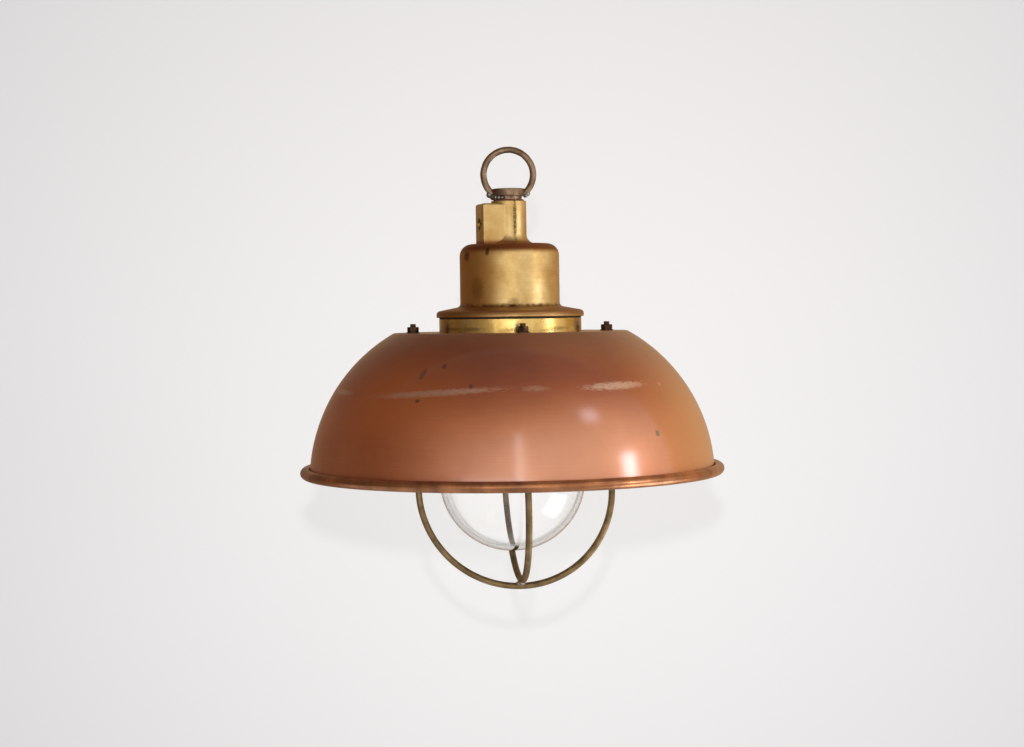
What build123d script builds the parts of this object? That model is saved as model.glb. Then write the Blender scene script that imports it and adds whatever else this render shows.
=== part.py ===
from build123d import *
import math
import os

# Ship's cargo lantern: a copper shade under a brass cap, hung from a ring, with a screwed
# well glass inside a brazed brass guard.  Millimetres, +Z up, origin where the hook bears on
# the inside of the hanging ring.  The cable entry points to -X, turned a little towards -Y.

# ---- fits -----------------------------------------------------------------------------
thread_clearance = 0.05      # radial, between the crests of parts that screw together
hole_clearance = 0.3         # radial, stud or screw in a plain hole
slip_clearance = 0.3         # radial, one part dropped over another

# ---- hanging ring and plug --------------------------------------------------------------
ring_bar = 6.5
ring_eye_radius = 21.5       # inside radius of the ring
ring_gap_half_angle = 37.0   # the ring stays open at the bottom, where the plug sits
plug_radius = 16.2
plug_top_depth = 35.6        # from the inside of the ring's top to the top of the plug
plug_head_height = 7.4
plug_waist_radius = 13.2
plug_waist_height = 3.5
plug_washer_radius = 15.2
plug_washer_thickness = 1.3
plug_thread_radius = 12.0
plug_thread_length = 14.0
braze_left_radius = 5.2
braze_right_radius = 4.0

# ---- cap casting ------------------------------------------------------------------------
neck_radius = 17.5
neck_height = 42.2
neck_fillet = 9.0
cap_radius = 49.7
cap_wall = 3.2
cap_crown = 4.0              # thickness of the shoulder
cap_height = 62.6            # shoulder to the root of the flange
cap_shoulder_drop = 0.7
cap_corner = 12.0
flange_overhang = 2.6        # past the gallery below it
flange_slope_drop = 4.6      # fall of the flange's top face from root to edge
flange_edge = 6.1            # height of the flange's edge
flange_corner = 4.0
flange_root_fillet = 4.0
cap_thread_step = 16.25      # from the wall of the cap out to its thread
cap_spigot_wall = 5.95
cap_spigot_length = 9.0

# ---- cable entry ------------------------------------------------------------------------
boss_turn = 15.0             # degrees from -X towards -Y
boss_step = 2.1              # side of the boss stands inside the side of the neck
boss_reach = 30.4            # lamp axis to the end face
boss_top_drop = 2.7          # below the top of the neck
boss_blend = 4.0
boss_top_round = 2.6
boss_edge_round = 1.2
entry_drop = 23.2            # centre of the entry, below the top of the neck
gland_thread_radius = 10.0
gland_seat_wall = 2.4        # wall left between the gland's seat and the bore of the neck
gland_screw_length = 8.0
gland_screw_hole = 6.0
gland_washer_thickness = 1.5
gland_slot_width = 3.0
gland_slot_depth = 2.0
grommet_hole = 5.5
entry_throat = 6.5

# ---- gallery ------------------------------------------------------------------------------
seal_thickness = 1.0
gallery_wall = 5.0
gallery_rise = 13.7          # visible height between the seal and the shade
gallery_ledge_width = 14.0
gallery_ledge = 4.0
gallery_flange_margin = 9.5  # past the middle of the guard's legs
gallery_flange = 4.0
gallery_socket_wall = 6.0
gallery_socket_depth = 18.0  # below the ledge
gasket_thickness = 1.0
gallery_thread_gap = 3.7     # from the end of the cap's spigot to the ledge

# ---- shade --------------------------------------------------------------------------------
sheet = 1.0
shade_flat_margin = 19.1     # flat top past the middle of the guard's legs
shade_corner_fillet = 3.0
shade_wall_radius = 202.14   # at the height of the bead
shade_depth = 137.6          # flat top to the middle of the bead
dome_radius = 168.5          # radius of the dome's section
bead_radius = 5.3
bead_open_angle = 50.0       # part of the curl left open against the wall

# ---- guard --------------------------------------------------------------------------------
guard_bar = 6.5
guard_turn = 7.0             # degrees, legs from +X towards +Y
guard_radius = 97.5          # to the middle of the bar
guard_below_glass = 26.25    # lowest point of the glass to the upper hoop
hoop_gap = 0.2               # filled with braze where the hoops cross
guard_braze_radius = 4.6
leg_thread_radius = 3.0
leg_thread_below = 3.0       # thread that shows under the lock nut
leg_tip = 3.0                # thread that stands out of the nut
nut_across_flats = 10.0
nut_height = 5.0
nut_chamfer = 0.7
washer_radius = 6.6
washer_thickness = 1.0

# ---- well glass ---------------------------------------------------------------------------
globe_step = 7.05            # body of the glass past its thread
globe_wall = 3.5
globe_neck_wall = 4.0
globe_length = 214.3         # rim to the lowest point
globe_shoulder_drop = 16.5   # rim to the start of the shoulder
globe_shoulder = 6.5
globe_gasket = 3.0

# ---- lampholder ---------------------------------------------------------------------------
bridge_end_gap = 1.5
bridge_width = 18.0
bridge_thickness = 2.5
holder_radius = 22.0
holder_length = 40.0
holder_floor = 10.5          # porcelain above the socket
shell_wall = 0.5
shell_length = 25.5
contact_thickness = 0.8
contact_width = 7.0
screw_shank = 2.0
screw_head_radius = 3.6
screw_head = 2.2
screw_slot_width = 0.9
screw_slot_depth = 0.9
holder_screw_spacing = 31.0
holder_screw_depth = 9.0
terminal_spacing = 33.0
terminal_depth = 6.0
earth_offset = 36.0

# ---- lamp -----------------------------------------------------------------------------------
lamp_thread_radius = 13.25
lamp_cap_wall = 0.5
lamp_cap_length = 24.0
lamp_tip_radius = 3.2
lamp_tip_height = 2.4
lamp_insulator_radius = 9.0
lamp_insulator_height = 3.0
lamp_glass_radius = 30.0
lamp_glass_wall = 0.8
lamp_length = 106.0
lamp_neck_radius = 14.2
stem_radius = 4.0
stem_length = 22.0
filament_span = 18.0
filament_drop = 12.0
filament_wire = 0.45

# ---- heights worked out from the sizes above -------------------------------------------------
ring_centre_z = -ring_eye_radius
ring_radius = ring_eye_radius + ring_bar / 2
plug_top_z = -plug_top_depth
plug_waist_z = plug_top_z - plug_head_height
plug_seat_z = plug_waist_z - plug_waist_height
neck_top_z = plug_seat_z - plug_washer_thickness
shoulder_z = neck_top_z - neck_height
flange_root_z = shoulder_z - cap_height
flange_edge_z = flange_root_z - flange_slope_drop
cap_base_z = flange_edge_z - flange_edge
spigot_end_z = cap_base_z - cap_spigot_length
gallery_top_z = cap_base_z - seal_thickness
shade_top_z = gallery_top_z - gallery_rise
gasket_top_z = shade_top_z - sheet
flange_top_z = gasket_top_z - gasket_thickness
flange_base_z = flange_top_z - gallery_flange
ledge_top_z = spigot_end_z - gallery_thread_gap
ledge_base_z = ledge_top_z - gallery_ledge
socket_end_z = ledge_base_z - gallery_socket_depth
globe_rim_z = ledge_base_z - globe_gasket
bead_z = shade_top_z - shade_depth
globe_end_z = globe_rim_z - globe_length
hoop_b_z = globe_end_z - guard_below_glass - guard_bar / 2 + guard_radius
hoop_a_z = hoop_b_z - guard_bar - hoop_gap
washer_top_z = shade_top_z + washer_thickness
nut_top_z = washer_top_z + nut_height
leg_top_z = nut_top_z + leg_tip
lock_nut_z = flange_base_z - nut_height
leg_thread_end_z = lock_nut_z - leg_thread_below
bridge_base_z = cap_base_z - bridge_thickness
holder_base_z = bridge_base_z - holder_length
socket_floor_z = bridge_base_z - holder_floor
lamp_top_z = socket_floor_z - contact_thickness
lamp_insulator_z = lamp_top_z - lamp_tip_height
lamp_cap_z = lamp_insulator_z - lamp_insulator_height
lamp_cap_end_z = lamp_cap_z - lamp_cap_length
lamp_centre_z = lamp_top_z - lamp_length + lamp_glass_radius
entry_z = neck_top_z - entry_drop

# ---- radii worked out from the sizes above ---------------------------------------------------
bore_radius = plug_thread_radius
boss_width = 2 * (neck_radius - boss_step)
cap_bore = cap_radius - cap_wall
cap_thread_radius = cap_radius + cap_thread_step
spigot_bore = cap_thread_radius - cap_spigot_wall
gallery_cap_thread = cap_thread_radius + thread_clearance
gallery_radius = gallery_cap_thread + gallery_wall
gallery_ledge_radius = gallery_cap_thread - gallery_ledge_width
gallery_flange_radius = guard_radius + gallery_flange_margin
flange_radius = gallery_radius + flange_overhang
globe_thread_radius = gallery_cap_thread - thread_clearance
globe_radius = globe_thread_radius + globe_step
shade_hole = gallery_radius + slip_clearance
shade_corner_radius = guard_radius + shade_flat_margin
bridge_length = 2 * (spigot_bore - bridge_end_gap)
bridge_screw_x = (cap_bore + spigot_bore) / 2
globe_centre_z = globe_end_z + globe_radius
leg_hole = leg_thread_radius + hole_clearance
screw_hole = screw_shank + hole_clearance / 3
shell_bore = lamp_thread_radius + thread_clearance


# ---- helpers --------------------------------------------------------------------------------
def turned(*corners):
    """Solid turned about Z from (radius, height, corner fillet) points in order."""
    points = [(radius, height) for radius, height, _ in corners]
    fillets = [corner for _, _, corner in corners]
    outline = FilletPolyline(*points, radius=fillets, close=True)
    return revolve(Plane.XZ * make_face(outline), Axis.Z)


def tube(inner, outer, low, high, edge=0.0):
    """Plain turned ring with its outer edges rounded."""
    return turned((inner, low, 0), (outer, low, edge), (outer, high, edge), (inner, high, 0))


def rod(radius, low, high, x=0.0, y=0.0):
    """Upright cylinder."""
    return Pos(x, y, (low + high) / 2) * Cylinder(radius, high - low)


def box(x_size, y_size, low, high, x=0.0, y=0.0):
    """Upright box centred on x, y."""
    return Pos(x, y, (low + high) / 2) * Box(x_size, y_size, high - low)


def hexagon(across_flats, bore, low, high, chamfer_size):
    """Hexagon nut with both faces chamfered."""
    across_corners = across_flats / math.cos(math.radians(30))
    blank = Pos(0, 0, low) * extrude(RegularPolygon(across_corners / 2, 6), high - low)
    rounding = turned(
        (0, low, 0),
        (across_corners / 2 - chamfer_size, low, 0),
        (across_corners / 2, low + chamfer_size * 0.6, 0),
        (across_corners / 2, high - chamfer_size * 0.6, 0),
        (across_corners / 2 - chamfer_size, high, 0),
        (0, high, 0),
    )
    return (blank & rounding) - rod(bore, low - 1, high + 1)


def slotted_screw(head_low, head_direction, shank_length):
    """Cheese-head screw at the origin: head_direction is +1 for a head that faces up."""
    head = rod(screw_head_radius, 0, screw_head)
    head -= box(screw_head_radius * 3, screw_slot_width, screw_head - screw_slot_depth, screw_head + 1)
    screw = head + rod(screw_shank, -shank_length, 0)
    if head_direction < 0:
        screw = Rot(180, 0, 0) * screw
    return Pos(0, 0, head_low) * screw


def around(radius, count, start, piece):
    """Copies of a piece on a circle, kept as separate solids of one node."""
    return Compound(children=[copy_at * piece for copy_at in PolarLocations(radius, count, start)])


def save(node, shape):
    """Write one node."""
    export_step(shape, f"parts/{node}.step")


os.makedirs("parts", exist_ok=True)

# ---- hanging ring, brazed to its plug ---------------------------------------------------------
plug = turned(
    (0, plug_top_z, 0),
    (plug_radius, plug_top_z, 0.8),
    (plug_radius, plug_waist_z, 0.8),
    (plug_waist_radius, plug_waist_z, 0),
    (plug_waist_radius, plug_seat_z, 0),
    (plug_thread_radius, plug_seat_z, 0),
    (plug_thread_radius, plug_seat_z - plug_washer_thickness - plug_thread_length, 0.8),
    (0, plug_seat_z - plug_washer_thickness - plug_thread_length, 0),
)
plug_washer = tube(plug_thread_radius, plug_washer_radius, neck_top_z, plug_seat_z)

bar_section = Pos(ring_radius, 0, 0) * (Plane.XZ * Circle(ring_bar / 2))
ring_blank = revolve(bar_section, Axis.Z, 360 - 2 * ring_gap_half_angle)
ring_blank = Rot(90, 0, 0) * Rot(0, 0, -90 + ring_gap_half_angle) * ring_blank
ring = Pos(0, 0, ring_centre_z) * ring_blank - plug

braze_x = plug_radius - 0.6
braze_z = plug_waist_z + 1.0
ring_braze = Pos(-braze_x, 0, braze_z) * Sphere(braze_left_radius)
ring_braze += Pos(braze_x + 0.6, 0, braze_z + 0.6) * Sphere(braze_right_radius)
ring_braze -= box(2 * plug_radius + 20, 2 * plug_radius, neck_top_z - 20, plug_seat_z)
ring_braze -= ring
ring_braze -= plug
ring_braze -= plug_washer

# ---- cap casting --------------------------------------------------------------------------------
cap_blank = turned(
    (bore_radius, neck_top_z, 0),
    (neck_radius, neck_top_z, 0.8),
    (neck_radius, shoulder_z, neck_fillet),
    (cap_radius, shoulder_z - cap_shoulder_drop, cap_corner),
    (cap_radius, flange_root_z, flange_root_fillet),
    (flange_radius, flange_edge_z, flange_corner),
    (flange_radius, cap_base_z, 1.0),
    (cap_thread_radius, cap_base_z, 0),
    (cap_thread_radius, spigot_end_z, 0.6),
    (spigot_bore, spigot_end_z, 0),
    (spigot_bore, cap_base_z, 0),
    (cap_bore, cap_base_z, 0),
    (cap_bore, shoulder_z - cap_crown, cap_corner - cap_wall),
    (bore_radius, shoulder_z - cap_crown, 0),
)
boss_plan = Circle(neck_radius) + Pos(boss_reach / 2, 0) * Rectangle(boss_reach, boss_width)
inner_corners = [
    corner for corner in boss_plan.vertices() if math.hypot(corner.X, corner.Y) < neck_radius + 0.1
]
boss_plan = fillet(inner_corners, boss_blend)
boss_top_z = neck_top_z - boss_top_drop
boss_foot_z = shoulder_z - cap_crown / 2
boss = extrude(Pos(0, 0, boss_foot_z) * boss_plan, boss_top_z - boss_foot_z)
end_edges = boss.edges().filter_by(Axis.Z).group_by(Axis.X)[-1]
boss = fillet(end_edges, boss_edge_round)
top_face = boss.faces().sort_by(Axis.Z)[-1]
crown_edges = [
    edge for edge in top_face.edges() if edge.center().X > math.sqrt(neck_radius**2 - boss_width**2 / 4)
]
boss = fillet(crown_edges, boss_top_round)
boss = Rot(0, 0, 180 + boss_turn) * boss

entry_direction = (
    -math.cos(math.radians(boss_turn)),
    -math.sin(math.radians(boss_turn)),
    0,
)
entry_axis = Plane(origin=(0, 0, entry_z), x_dir=(0, 0, 1), z_dir=entry_direction)
gland_floor = bore_radius + gland_seat_wall
entry_cut = rod(gland_thread_radius, gland_floor, boss_reach + 10) + rod(entry_throat, 0, gland_floor)
bridge_screw_depth = 6.0
head_cap = cap_blank + boss
head_cap -= rod(bore_radius, shoulder_z - cap_crown - 1, neck_top_z + 1)
head_cap -= entry_axis * entry_cut
for side in (-1, 1):
    head_cap -= rod(screw_shank, cap_base_z - 1, cap_base_z + bridge_screw_depth, side * bridge_screw_x)

# ---- cable gland ------------------------------------------------------------------------------------
gland_screw_start = boss_reach - gland_screw_length
gland_washer_start = gland_screw_start - gland_washer_thickness
gland_screw = tube(
    gland_screw_hole,
    gland_thread_radius - thread_clearance,
    gland_screw_start,
    boss_reach,
    0.6,
)
gland_screw -= box(
    gland_slot_width,
    3 * gland_thread_radius,
    boss_reach - gland_slot_depth,
    boss_reach + 1,
)
gland_washer = tube(
    gland_screw_hole + hole_clearance,
    gland_thread_radius - hole_clearance,
    gland_washer_start,
    gland_screw_start,
)
gland_grommet = tube(grommet_hole, gland_thread_radius - hole_clearance, gland_floor, gland_washer_start)

# ---- gallery, its seals and the shade ---------------------------------------------------------------
cap_seal = tube(cap_thread_radius + slip_clearance, gallery_radius, gallery_top_z, cap_base_z)
gallery = turned(
    (gallery_cap_thread, gallery_top_z, 0),
    (gallery_radius, gallery_top_z, 0.8),
    (gallery_radius, flange_top_z, 0),
    (gallery_flange_radius, flange_top_z, 0.8),
    (gallery_flange_radius, flange_base_z, 0.8),
    (globe_thread_radius + thread_clearance + gallery_socket_wall, flange_base_z, 2.0),
    (globe_thread_radius + thread_clearance + gallery_socket_wall, socket_end_z, 1.0),
    (globe_thread_radius + thread_clearance, socket_end_z, 0),
    (globe_thread_radius + thread_clearance, ledge_base_z, 0),
    (gallery_ledge_radius, ledge_base_z, 0.8),
    (gallery_ledge_radius, ledge_top_z, 0.8),
    (gallery_cap_thread, ledge_top_z, 0),
)
leg_holes = around(guard_radius, 4, guard_turn, rod(leg_hole, flange_base_z - 5, washer_top_z + 5))
gallery -= leg_holes
flange_gasket = tube(shade_hole, gallery_flange_radius - 1.0, flange_top_z, gasket_top_z) - leg_holes

# The dome's section is one arc from the edge of the flat top to the wall at the bead.
half_chord_r = (shade_wall_radius - shade_corner_radius) / 2
half_chord_z = (bead_z - shade_top_z) / 2
half_chord = math.hypot(half_chord_r, half_chord_z)
arc_reach = math.sqrt(dome_radius**2 - half_chord**2)
dome_r = shade_corner_radius + half_chord_r + arc_reach * half_chord_z / half_chord
dome_z = shade_top_z + half_chord_z - arc_reach * half_chord_r / half_chord
inner_dome = dome_radius - sheet
inner_top_z = shade_top_z - sheet
inner_corner_r = dome_r + math.sqrt(inner_dome**2 - (inner_top_z - dome_z) ** 2)
inner_wall_r = dome_r + math.sqrt(inner_dome**2 - (bead_z - dome_z) ** 2)
shell_edges = [
    Line((shade_hole, shade_top_z), (shade_corner_radius, shade_top_z)),
    RadiusArc((shade_corner_radius, shade_top_z), (shade_wall_radius, bead_z), dome_radius),
    Line((shade_wall_radius, bead_z), (inner_wall_r, bead_z)),
    RadiusArc((inner_wall_r, bead_z), (inner_corner_r, inner_top_z), -inner_dome),
    Line((inner_corner_r, inner_top_z), (shade_hole, inner_top_z)),
    Line((shade_hole, inner_top_z), (shade_hole, shade_top_z)),
]
shell_face = make_face(Curve() + shell_edges)
outer_corner = shell_face.vertices().sort_by_distance((shade_corner_radius, shade_top_z))[0]
shell_face = fillet(outer_corner, shade_corner_fillet)
inner_corner = shell_face.vertices().sort_by_distance((inner_corner_r, inner_top_z))[0]
shell_face = fillet(inner_corner, shade_corner_fillet - sheet)
bead_r = inner_wall_r + bead_radius
reach = 2 * bead_radius
curl_gap = Polygon(
    (0, 0),
    (-reach, 0),
    (-reach, reach * math.tan(math.radians(bead_open_angle))),
    align=None,
)
curl = Circle(bead_radius) - Circle(bead_radius - sheet) - curl_gap
shade_face = shell_face + Pos(bead_r, bead_z) * curl
shade = revolve(Plane.XZ * shade_face, Axis.Z) - leg_holes

# ---- guard ------------------------------------------------------------------------------------------
def hoop(centre_z, turn):
    """U-shaped bar: two threaded legs joined by a half circle, in a plane through Z."""
    section = Pos(guard_radius, 0, 0) * Circle(guard_bar / 2)
    bend = Pos(0, 0, centre_z) * revolve(section, Axis.Y, 180)
    bar = bend
    for side in (-1, 1):
        bar += rod(guard_bar / 2, centre_z, leg_thread_end_z, side * guard_radius)
        bar += rod(leg_thread_radius, leg_thread_end_z, leg_top_z, side * guard_radius)
    return Rot(0, 0, turn) * bar


hoop_a = hoop(hoop_a_z, guard_turn)
hoop_b = hoop(hoop_b_z, guard_turn + 90)
crossing_z = hoop_a_z - guard_radius + (guard_bar + hoop_gap) / 2
guard_braze = Pos(0, 0, crossing_z) * Sphere(guard_braze_radius) - hoop_a - hoop_b
lock_nuts = around(
    guard_radius,
    4,
    guard_turn,
    hexagon(nut_across_flats, leg_thread_radius, lock_nut_z, flange_base_z, nut_chamfer),
)
guard_nuts = around(
    guard_radius,
    4,
    guard_turn,
    hexagon(
        nut_across_flats,
        leg_thread_radius + thread_clearance,
        washer_top_z,
        nut_top_z,
        nut_chamfer,
    ),
)
guard_washers = around(
    guard_radius,
    4,
    guard_turn,
    tube(leg_hole, washer_radius, shade_top_z, washer_top_z),
)

# ---- well glass -------------------------------------------------------------------------------------
def globe_form(inset):
    """Outer form of the glass, or its hollow when inset by the wall."""
    neck = globe_thread_radius - (globe_neck_wall if inset else 0)
    body = globe_radius - inset
    shoulder_top = globe_rim_z - globe_shoulder_drop
    straight = turned(
        (0, globe_rim_z + (1 if inset else 0), 0),
        (neck, globe_rim_z + (1 if inset else 0), 0),
        (neck, shoulder_top, 2.0),
        (body, shoulder_top - globe_shoulder, 3.0),
        (body, globe_centre_z, 0),
        (0, globe_centre_z, 0),
    )
    return straight + Pos(0, 0, globe_centre_z) * Sphere(body)


globe = globe_form(0) - globe_form(globe_wall)
globe_gasket_ring = tube(
    gallery_ledge_radius + 2.0,
    globe_thread_radius - hole_clearance,
    globe_rim_z,
    ledge_base_z,
)

# ---- lampholder ---------------------------------------------------------------------------------------
bridge = box(bridge_length, bridge_width, bridge_base_z, cap_base_z)
bridge = fillet(bridge.edges().filter_by(Axis.Z), 3.0)
holder_screw_x = holder_screw_spacing / 2
terminal_y = terminal_spacing / 2
bridge -= rod(screw_hole, bridge_base_z - 1, cap_base_z + 1, earth_offset)
holder_socket = shell_bore + shell_wall
holder = turned(
    (0, bridge_base_z, 0),
    (holder_radius, bridge_base_z, 1.5),
    (holder_radius, holder_base_z, 2.5),
    (holder_socket, holder_base_z, 0),
    (holder_socket, socket_floor_z, 0),
    (0, socket_floor_z, 0),
)
bridge_screws = []
holder_screws = []
terminal_screws = []
for side in (-1, 1):
    bridge -= rod(screw_hole, bridge_base_z - 1, cap_base_z + 1, side * bridge_screw_x)
    bridge -= rod(screw_hole, bridge_base_z - 1, cap_base_z + 1, side * holder_screw_x)
    holder -= rod(
        screw_hole,
        bridge_base_z - holder_screw_depth,
        bridge_base_z + 1,
        side * holder_screw_x,
    )
    holder -= rod(
        screw_hole,
        bridge_base_z - terminal_depth,
        bridge_base_z + 1,
        y=side * terminal_y,
    )
    bridge_screws.append(
        Pos(side * bridge_screw_x, 0, 0)
        * slotted_screw(bridge_base_z, -1, bridge_screw_depth + bridge_thickness - 0.5)
    )
    holder_screws.append(
        Pos(side * holder_screw_x, 0, 0)
        * slotted_screw(cap_base_z, 1, holder_screw_depth + bridge_thickness - 0.5)
    )
    terminal_screws.append(
        Pos(0, side * terminal_y, 0) * slotted_screw(bridge_base_z, 1, terminal_depth - 0.5)
    )
earth_screw = Pos(earth_offset, 0, 0) * slotted_screw(cap_base_z, 1, bridge_thickness + 2.0)
shell_top_z = socket_floor_z - contact_thickness - 1.0
screw_shell = tube(shell_bore, holder_socket, shell_top_z - shell_length, shell_top_z)
centre_contact = box(contact_width * 2, contact_width, lamp_top_z, socket_floor_z)

# ---- lamp ---------------------------------------------------------------------------------------------
lamp_tip = rod(lamp_tip_radius, lamp_insulator_z, lamp_top_z)
lamp_insulator = turned(
    (0, lamp_cap_z, 0),
    (lamp_insulator_radius, lamp_cap_z, 0),
    (lamp_tip_radius + 1.0, lamp_insulator_z, 0),
    (0, lamp_insulator_z, 0),
)
lamp_cap = turned(
    (0, lamp_cap_z, 0),
    (lamp_thread_radius, lamp_cap_z, 2.0),
    (lamp_thread_radius, lamp_cap_end_z, 0),
    (lamp_thread_radius - lamp_cap_wall, lamp_cap_end_z, 0),
    (lamp_thread_radius - lamp_cap_wall, lamp_cap_z - lamp_cap_wall, 1.5),
    (0, lamp_cap_z - lamp_cap_wall, 0),
)


def lamp_form(inset):
    """Outer form of the lamp's glass, or its hollow when inset by the wall."""
    flare_z = lamp_centre_z + lamp_glass_radius * 0.5
    flare_r = lamp_glass_radius * math.cos(math.radians(30)) - inset
    neck_z = lamp_cap_end_z + lamp_cap_length * 0.3
    plug_r = lamp_thread_radius - lamp_cap_wall - inset
    neck = turned(
        (0, neck_z, 0),
        (plug_r, neck_z, 0),
        (plug_r, lamp_cap_end_z, 0),
        (lamp_neck_radius - inset, lamp_cap_end_z - 2.0, 0),
        (flare_r, flare_z, 0),
        (0, flare_z, 0),
    )
    return neck + Pos(0, 0, lamp_centre_z) * Sphere(lamp_glass_radius - inset)


lamp_glass = lamp_form(0) - lamp_form(lamp_glass_wall)
stem_top_z = lamp_cap_end_z + 2.0
stem_end_z = stem_top_z - stem_length
lamp_stem = turned(
    (0, stem_top_z, 0),
    (lamp_thread_radius - lamp_cap_wall - lamp_glass_wall, stem_top_z, 0),
    (stem_radius, stem_top_z - 4.0, 1.5),
    (stem_radius, stem_end_z, 1.5),
    (0, stem_end_z, 0),
)
post_half = filament_span / 2
filament_z = stem_end_z - filament_drop
filament_path = FilletPolyline(
    (-stem_radius / 2, 0, stem_end_z),
    (-stem_radius / 2, 0, stem_end_z - filament_drop / 4),
    (-post_half, 0, filament_z),
    (0, 0, filament_z + filament_drop / 3),
    (post_half, 0, filament_z),
    (stem_radius / 2, 0, stem_end_z - filament_drop / 4),
    (stem_radius / 2, 0, stem_end_z),
    radius=1.0,
)
filament = sweep(
    Plane(origin=filament_path @ 0, z_dir=filament_path % 0) * Circle(filament_wire),
    path=filament_path,
)

# ---- write the nodes ------------------------------------------------------------------------------------
nodes = {
    "hanging_ring": ring,
    "ring_braze": ring_braze,
    "ring_plug": plug,
    "plug_washer": plug_washer,
    "head_cap": head_cap,
    "gland_grommet": entry_axis * gland_grommet,
    "gland_washer": entry_axis * gland_washer,
    "gland_screw": entry_axis * gland_screw,
    "cap_seal": cap_seal,
    "gallery": gallery,
    "flange_gasket": flange_gasket,
    "shade": shade,
    "guard_hoop_lower": hoop_a,
    "guard_hoop_upper": hoop_b,
    "guard_braze": guard_braze,
    "guard_lock_nuts": lock_nuts,
    "guard_nuts": guard_nuts,
    "guard_washers": guard_washers,
    "globe": globe,
    "globe_gasket": globe_gasket_ring,
    "holder_bridge": bridge,
    "bridge_screws": Compound(children=bridge_screws),
    "holder_body": holder,
    "holder_screws": Compound(children=holder_screws),
    "terminal_screws": Compound(children=terminal_screws),
    "earth_screw": earth_screw,
    "screw_shell": screw_shell,
    "centre_contact": centre_contact,
    "lamp_tip": lamp_tip,
    "lamp_insulator": lamp_insulator,
    "lamp_cap": lamp_cap,
    "lamp_glass": lamp_glass,
    "lamp_stem": lamp_stem,
    "lamp_filament": filament,
}
for node, shape in nodes.items():
    save(node, shape)
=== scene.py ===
"""Looks of a ship's cargo lantern: copper shade, cast brass cap, screwed well glass, brass guard.

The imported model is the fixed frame.  A piece whose shape is right keeps its mesh and gets a
finish.  The others are rebuilt here as meshes and ride on the same bodies.
Metres in the frame, +Z up, the front towards -Y.  Finishes work in millimetres.
"""

import logging
import math
from collections.abc import Iterable, Sequence
from dataclasses import dataclass
from enum import Enum

import bmesh
import bpy
from mathutils import Euler, Matrix, Vector, noise


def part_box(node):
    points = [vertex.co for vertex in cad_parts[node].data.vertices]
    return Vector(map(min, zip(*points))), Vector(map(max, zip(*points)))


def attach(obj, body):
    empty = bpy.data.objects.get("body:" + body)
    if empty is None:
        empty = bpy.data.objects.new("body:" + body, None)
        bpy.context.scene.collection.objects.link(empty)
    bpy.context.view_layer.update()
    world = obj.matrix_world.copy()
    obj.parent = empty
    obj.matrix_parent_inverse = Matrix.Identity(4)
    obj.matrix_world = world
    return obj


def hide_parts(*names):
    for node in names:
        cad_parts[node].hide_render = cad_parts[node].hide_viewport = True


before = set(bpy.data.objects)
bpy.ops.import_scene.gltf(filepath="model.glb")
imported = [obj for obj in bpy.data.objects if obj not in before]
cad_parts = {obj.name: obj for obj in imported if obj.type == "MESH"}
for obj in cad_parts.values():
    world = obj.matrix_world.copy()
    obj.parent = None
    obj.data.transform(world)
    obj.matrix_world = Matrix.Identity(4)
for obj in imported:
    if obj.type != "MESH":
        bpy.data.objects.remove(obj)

log = logging.getLogger("lantern")
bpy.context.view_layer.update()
MM = 0.001
SHARP_ANGLE = math.radians(35)   # a sharper edge shades as a corner
WELD = 0.005 * MM                # points nearer than this become one
CORNER_STEPS = 6                 # pieces in a rounded corner of a section
ROUND_SIDES = 32                 # sides of a bar and of a drilled hole


# ---- shapes ---------------------------------------------------------------------------------


class Section:
    """Half section in the XZ plane, drawn from point to point and spun about Z."""

    def __init__(self, radius: float, height: float) -> None:
        """Start the section.

        Args:
            radius: radius of its first point.
            height: height of its first point.
        """
        self.mesh = bmesh.new()
        self.tip = self.mesh.verts.new((radius, 0, height))
        self.corners: list[tuple[bmesh.types.BMVert, float]] = []

    def line(self, radius: float, height: float, cut: float = 0.0) -> "Section":
        """Draw straight to a corner.

        Args:
            radius: radius of the corner.
            height: height of the corner.
            cut: length of each side that the corner's rounding takes, or 0 for a sharp one.

        Returns:
            The section, for the next stretch.
        """
        made = bmesh.ops.extrude_vert_indiv(self.mesh, verts=[self.tip])
        self.tip = made["verts"][0]
        self.tip.co = (radius, 0, height)
        if cut:
            self.corners.append((self.tip, cut))
        return self

    def arc(self, centre: tuple[float, float], angle: float, steps: int) -> "Section":
        """Swing the tip about a centre.

        Args:
            centre: radius and height of the centre.
            angle: radians; a tip outside its centre rises for a positive angle.
            steps: number of straight pieces.

        Returns:
            The section, for the next stretch.
        """
        made = bmesh.ops.spin(
            self.mesh, geom=[self.tip], cent=(centre[0], 0, centre[1]), axis=(0, -1, 0),
            angle=angle, steps=steps, use_merge=False,
        )
        self.tip = next(item for item in made["geom_last"] if isinstance(item, bmesh.types.BMVert))
        return self

    def turn(self, steps: int) -> bmesh.types.BMesh:
        """Round the corners and spin the section about Z.

        Args:
            steps: number of pieces round the circle.

        Returns:
            The turned mesh, welded, with its faces pointing out.
        """
        for corner, cut in self.corners:
            bmesh.ops.bevel(
                self.mesh, geom=[corner], offset=cut, affect="VERTICES",
                segments=CORNER_STEPS, profile=0.5, material=-1,
            )
        bmesh.ops.spin(
            self.mesh, geom=self.mesh.verts[:] + self.mesh.edges[:], cent=(0, 0, 0),
            axis=(0, 0, 1), angle=math.tau, steps=steps, use_merge=True,
        )
        bmesh.ops.remove_doubles(self.mesh, verts=self.mesh.verts, dist=WELD)
        bmesh.ops.recalc_face_normals(self.mesh, faces=self.mesh.faces)
        return self.mesh


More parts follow.
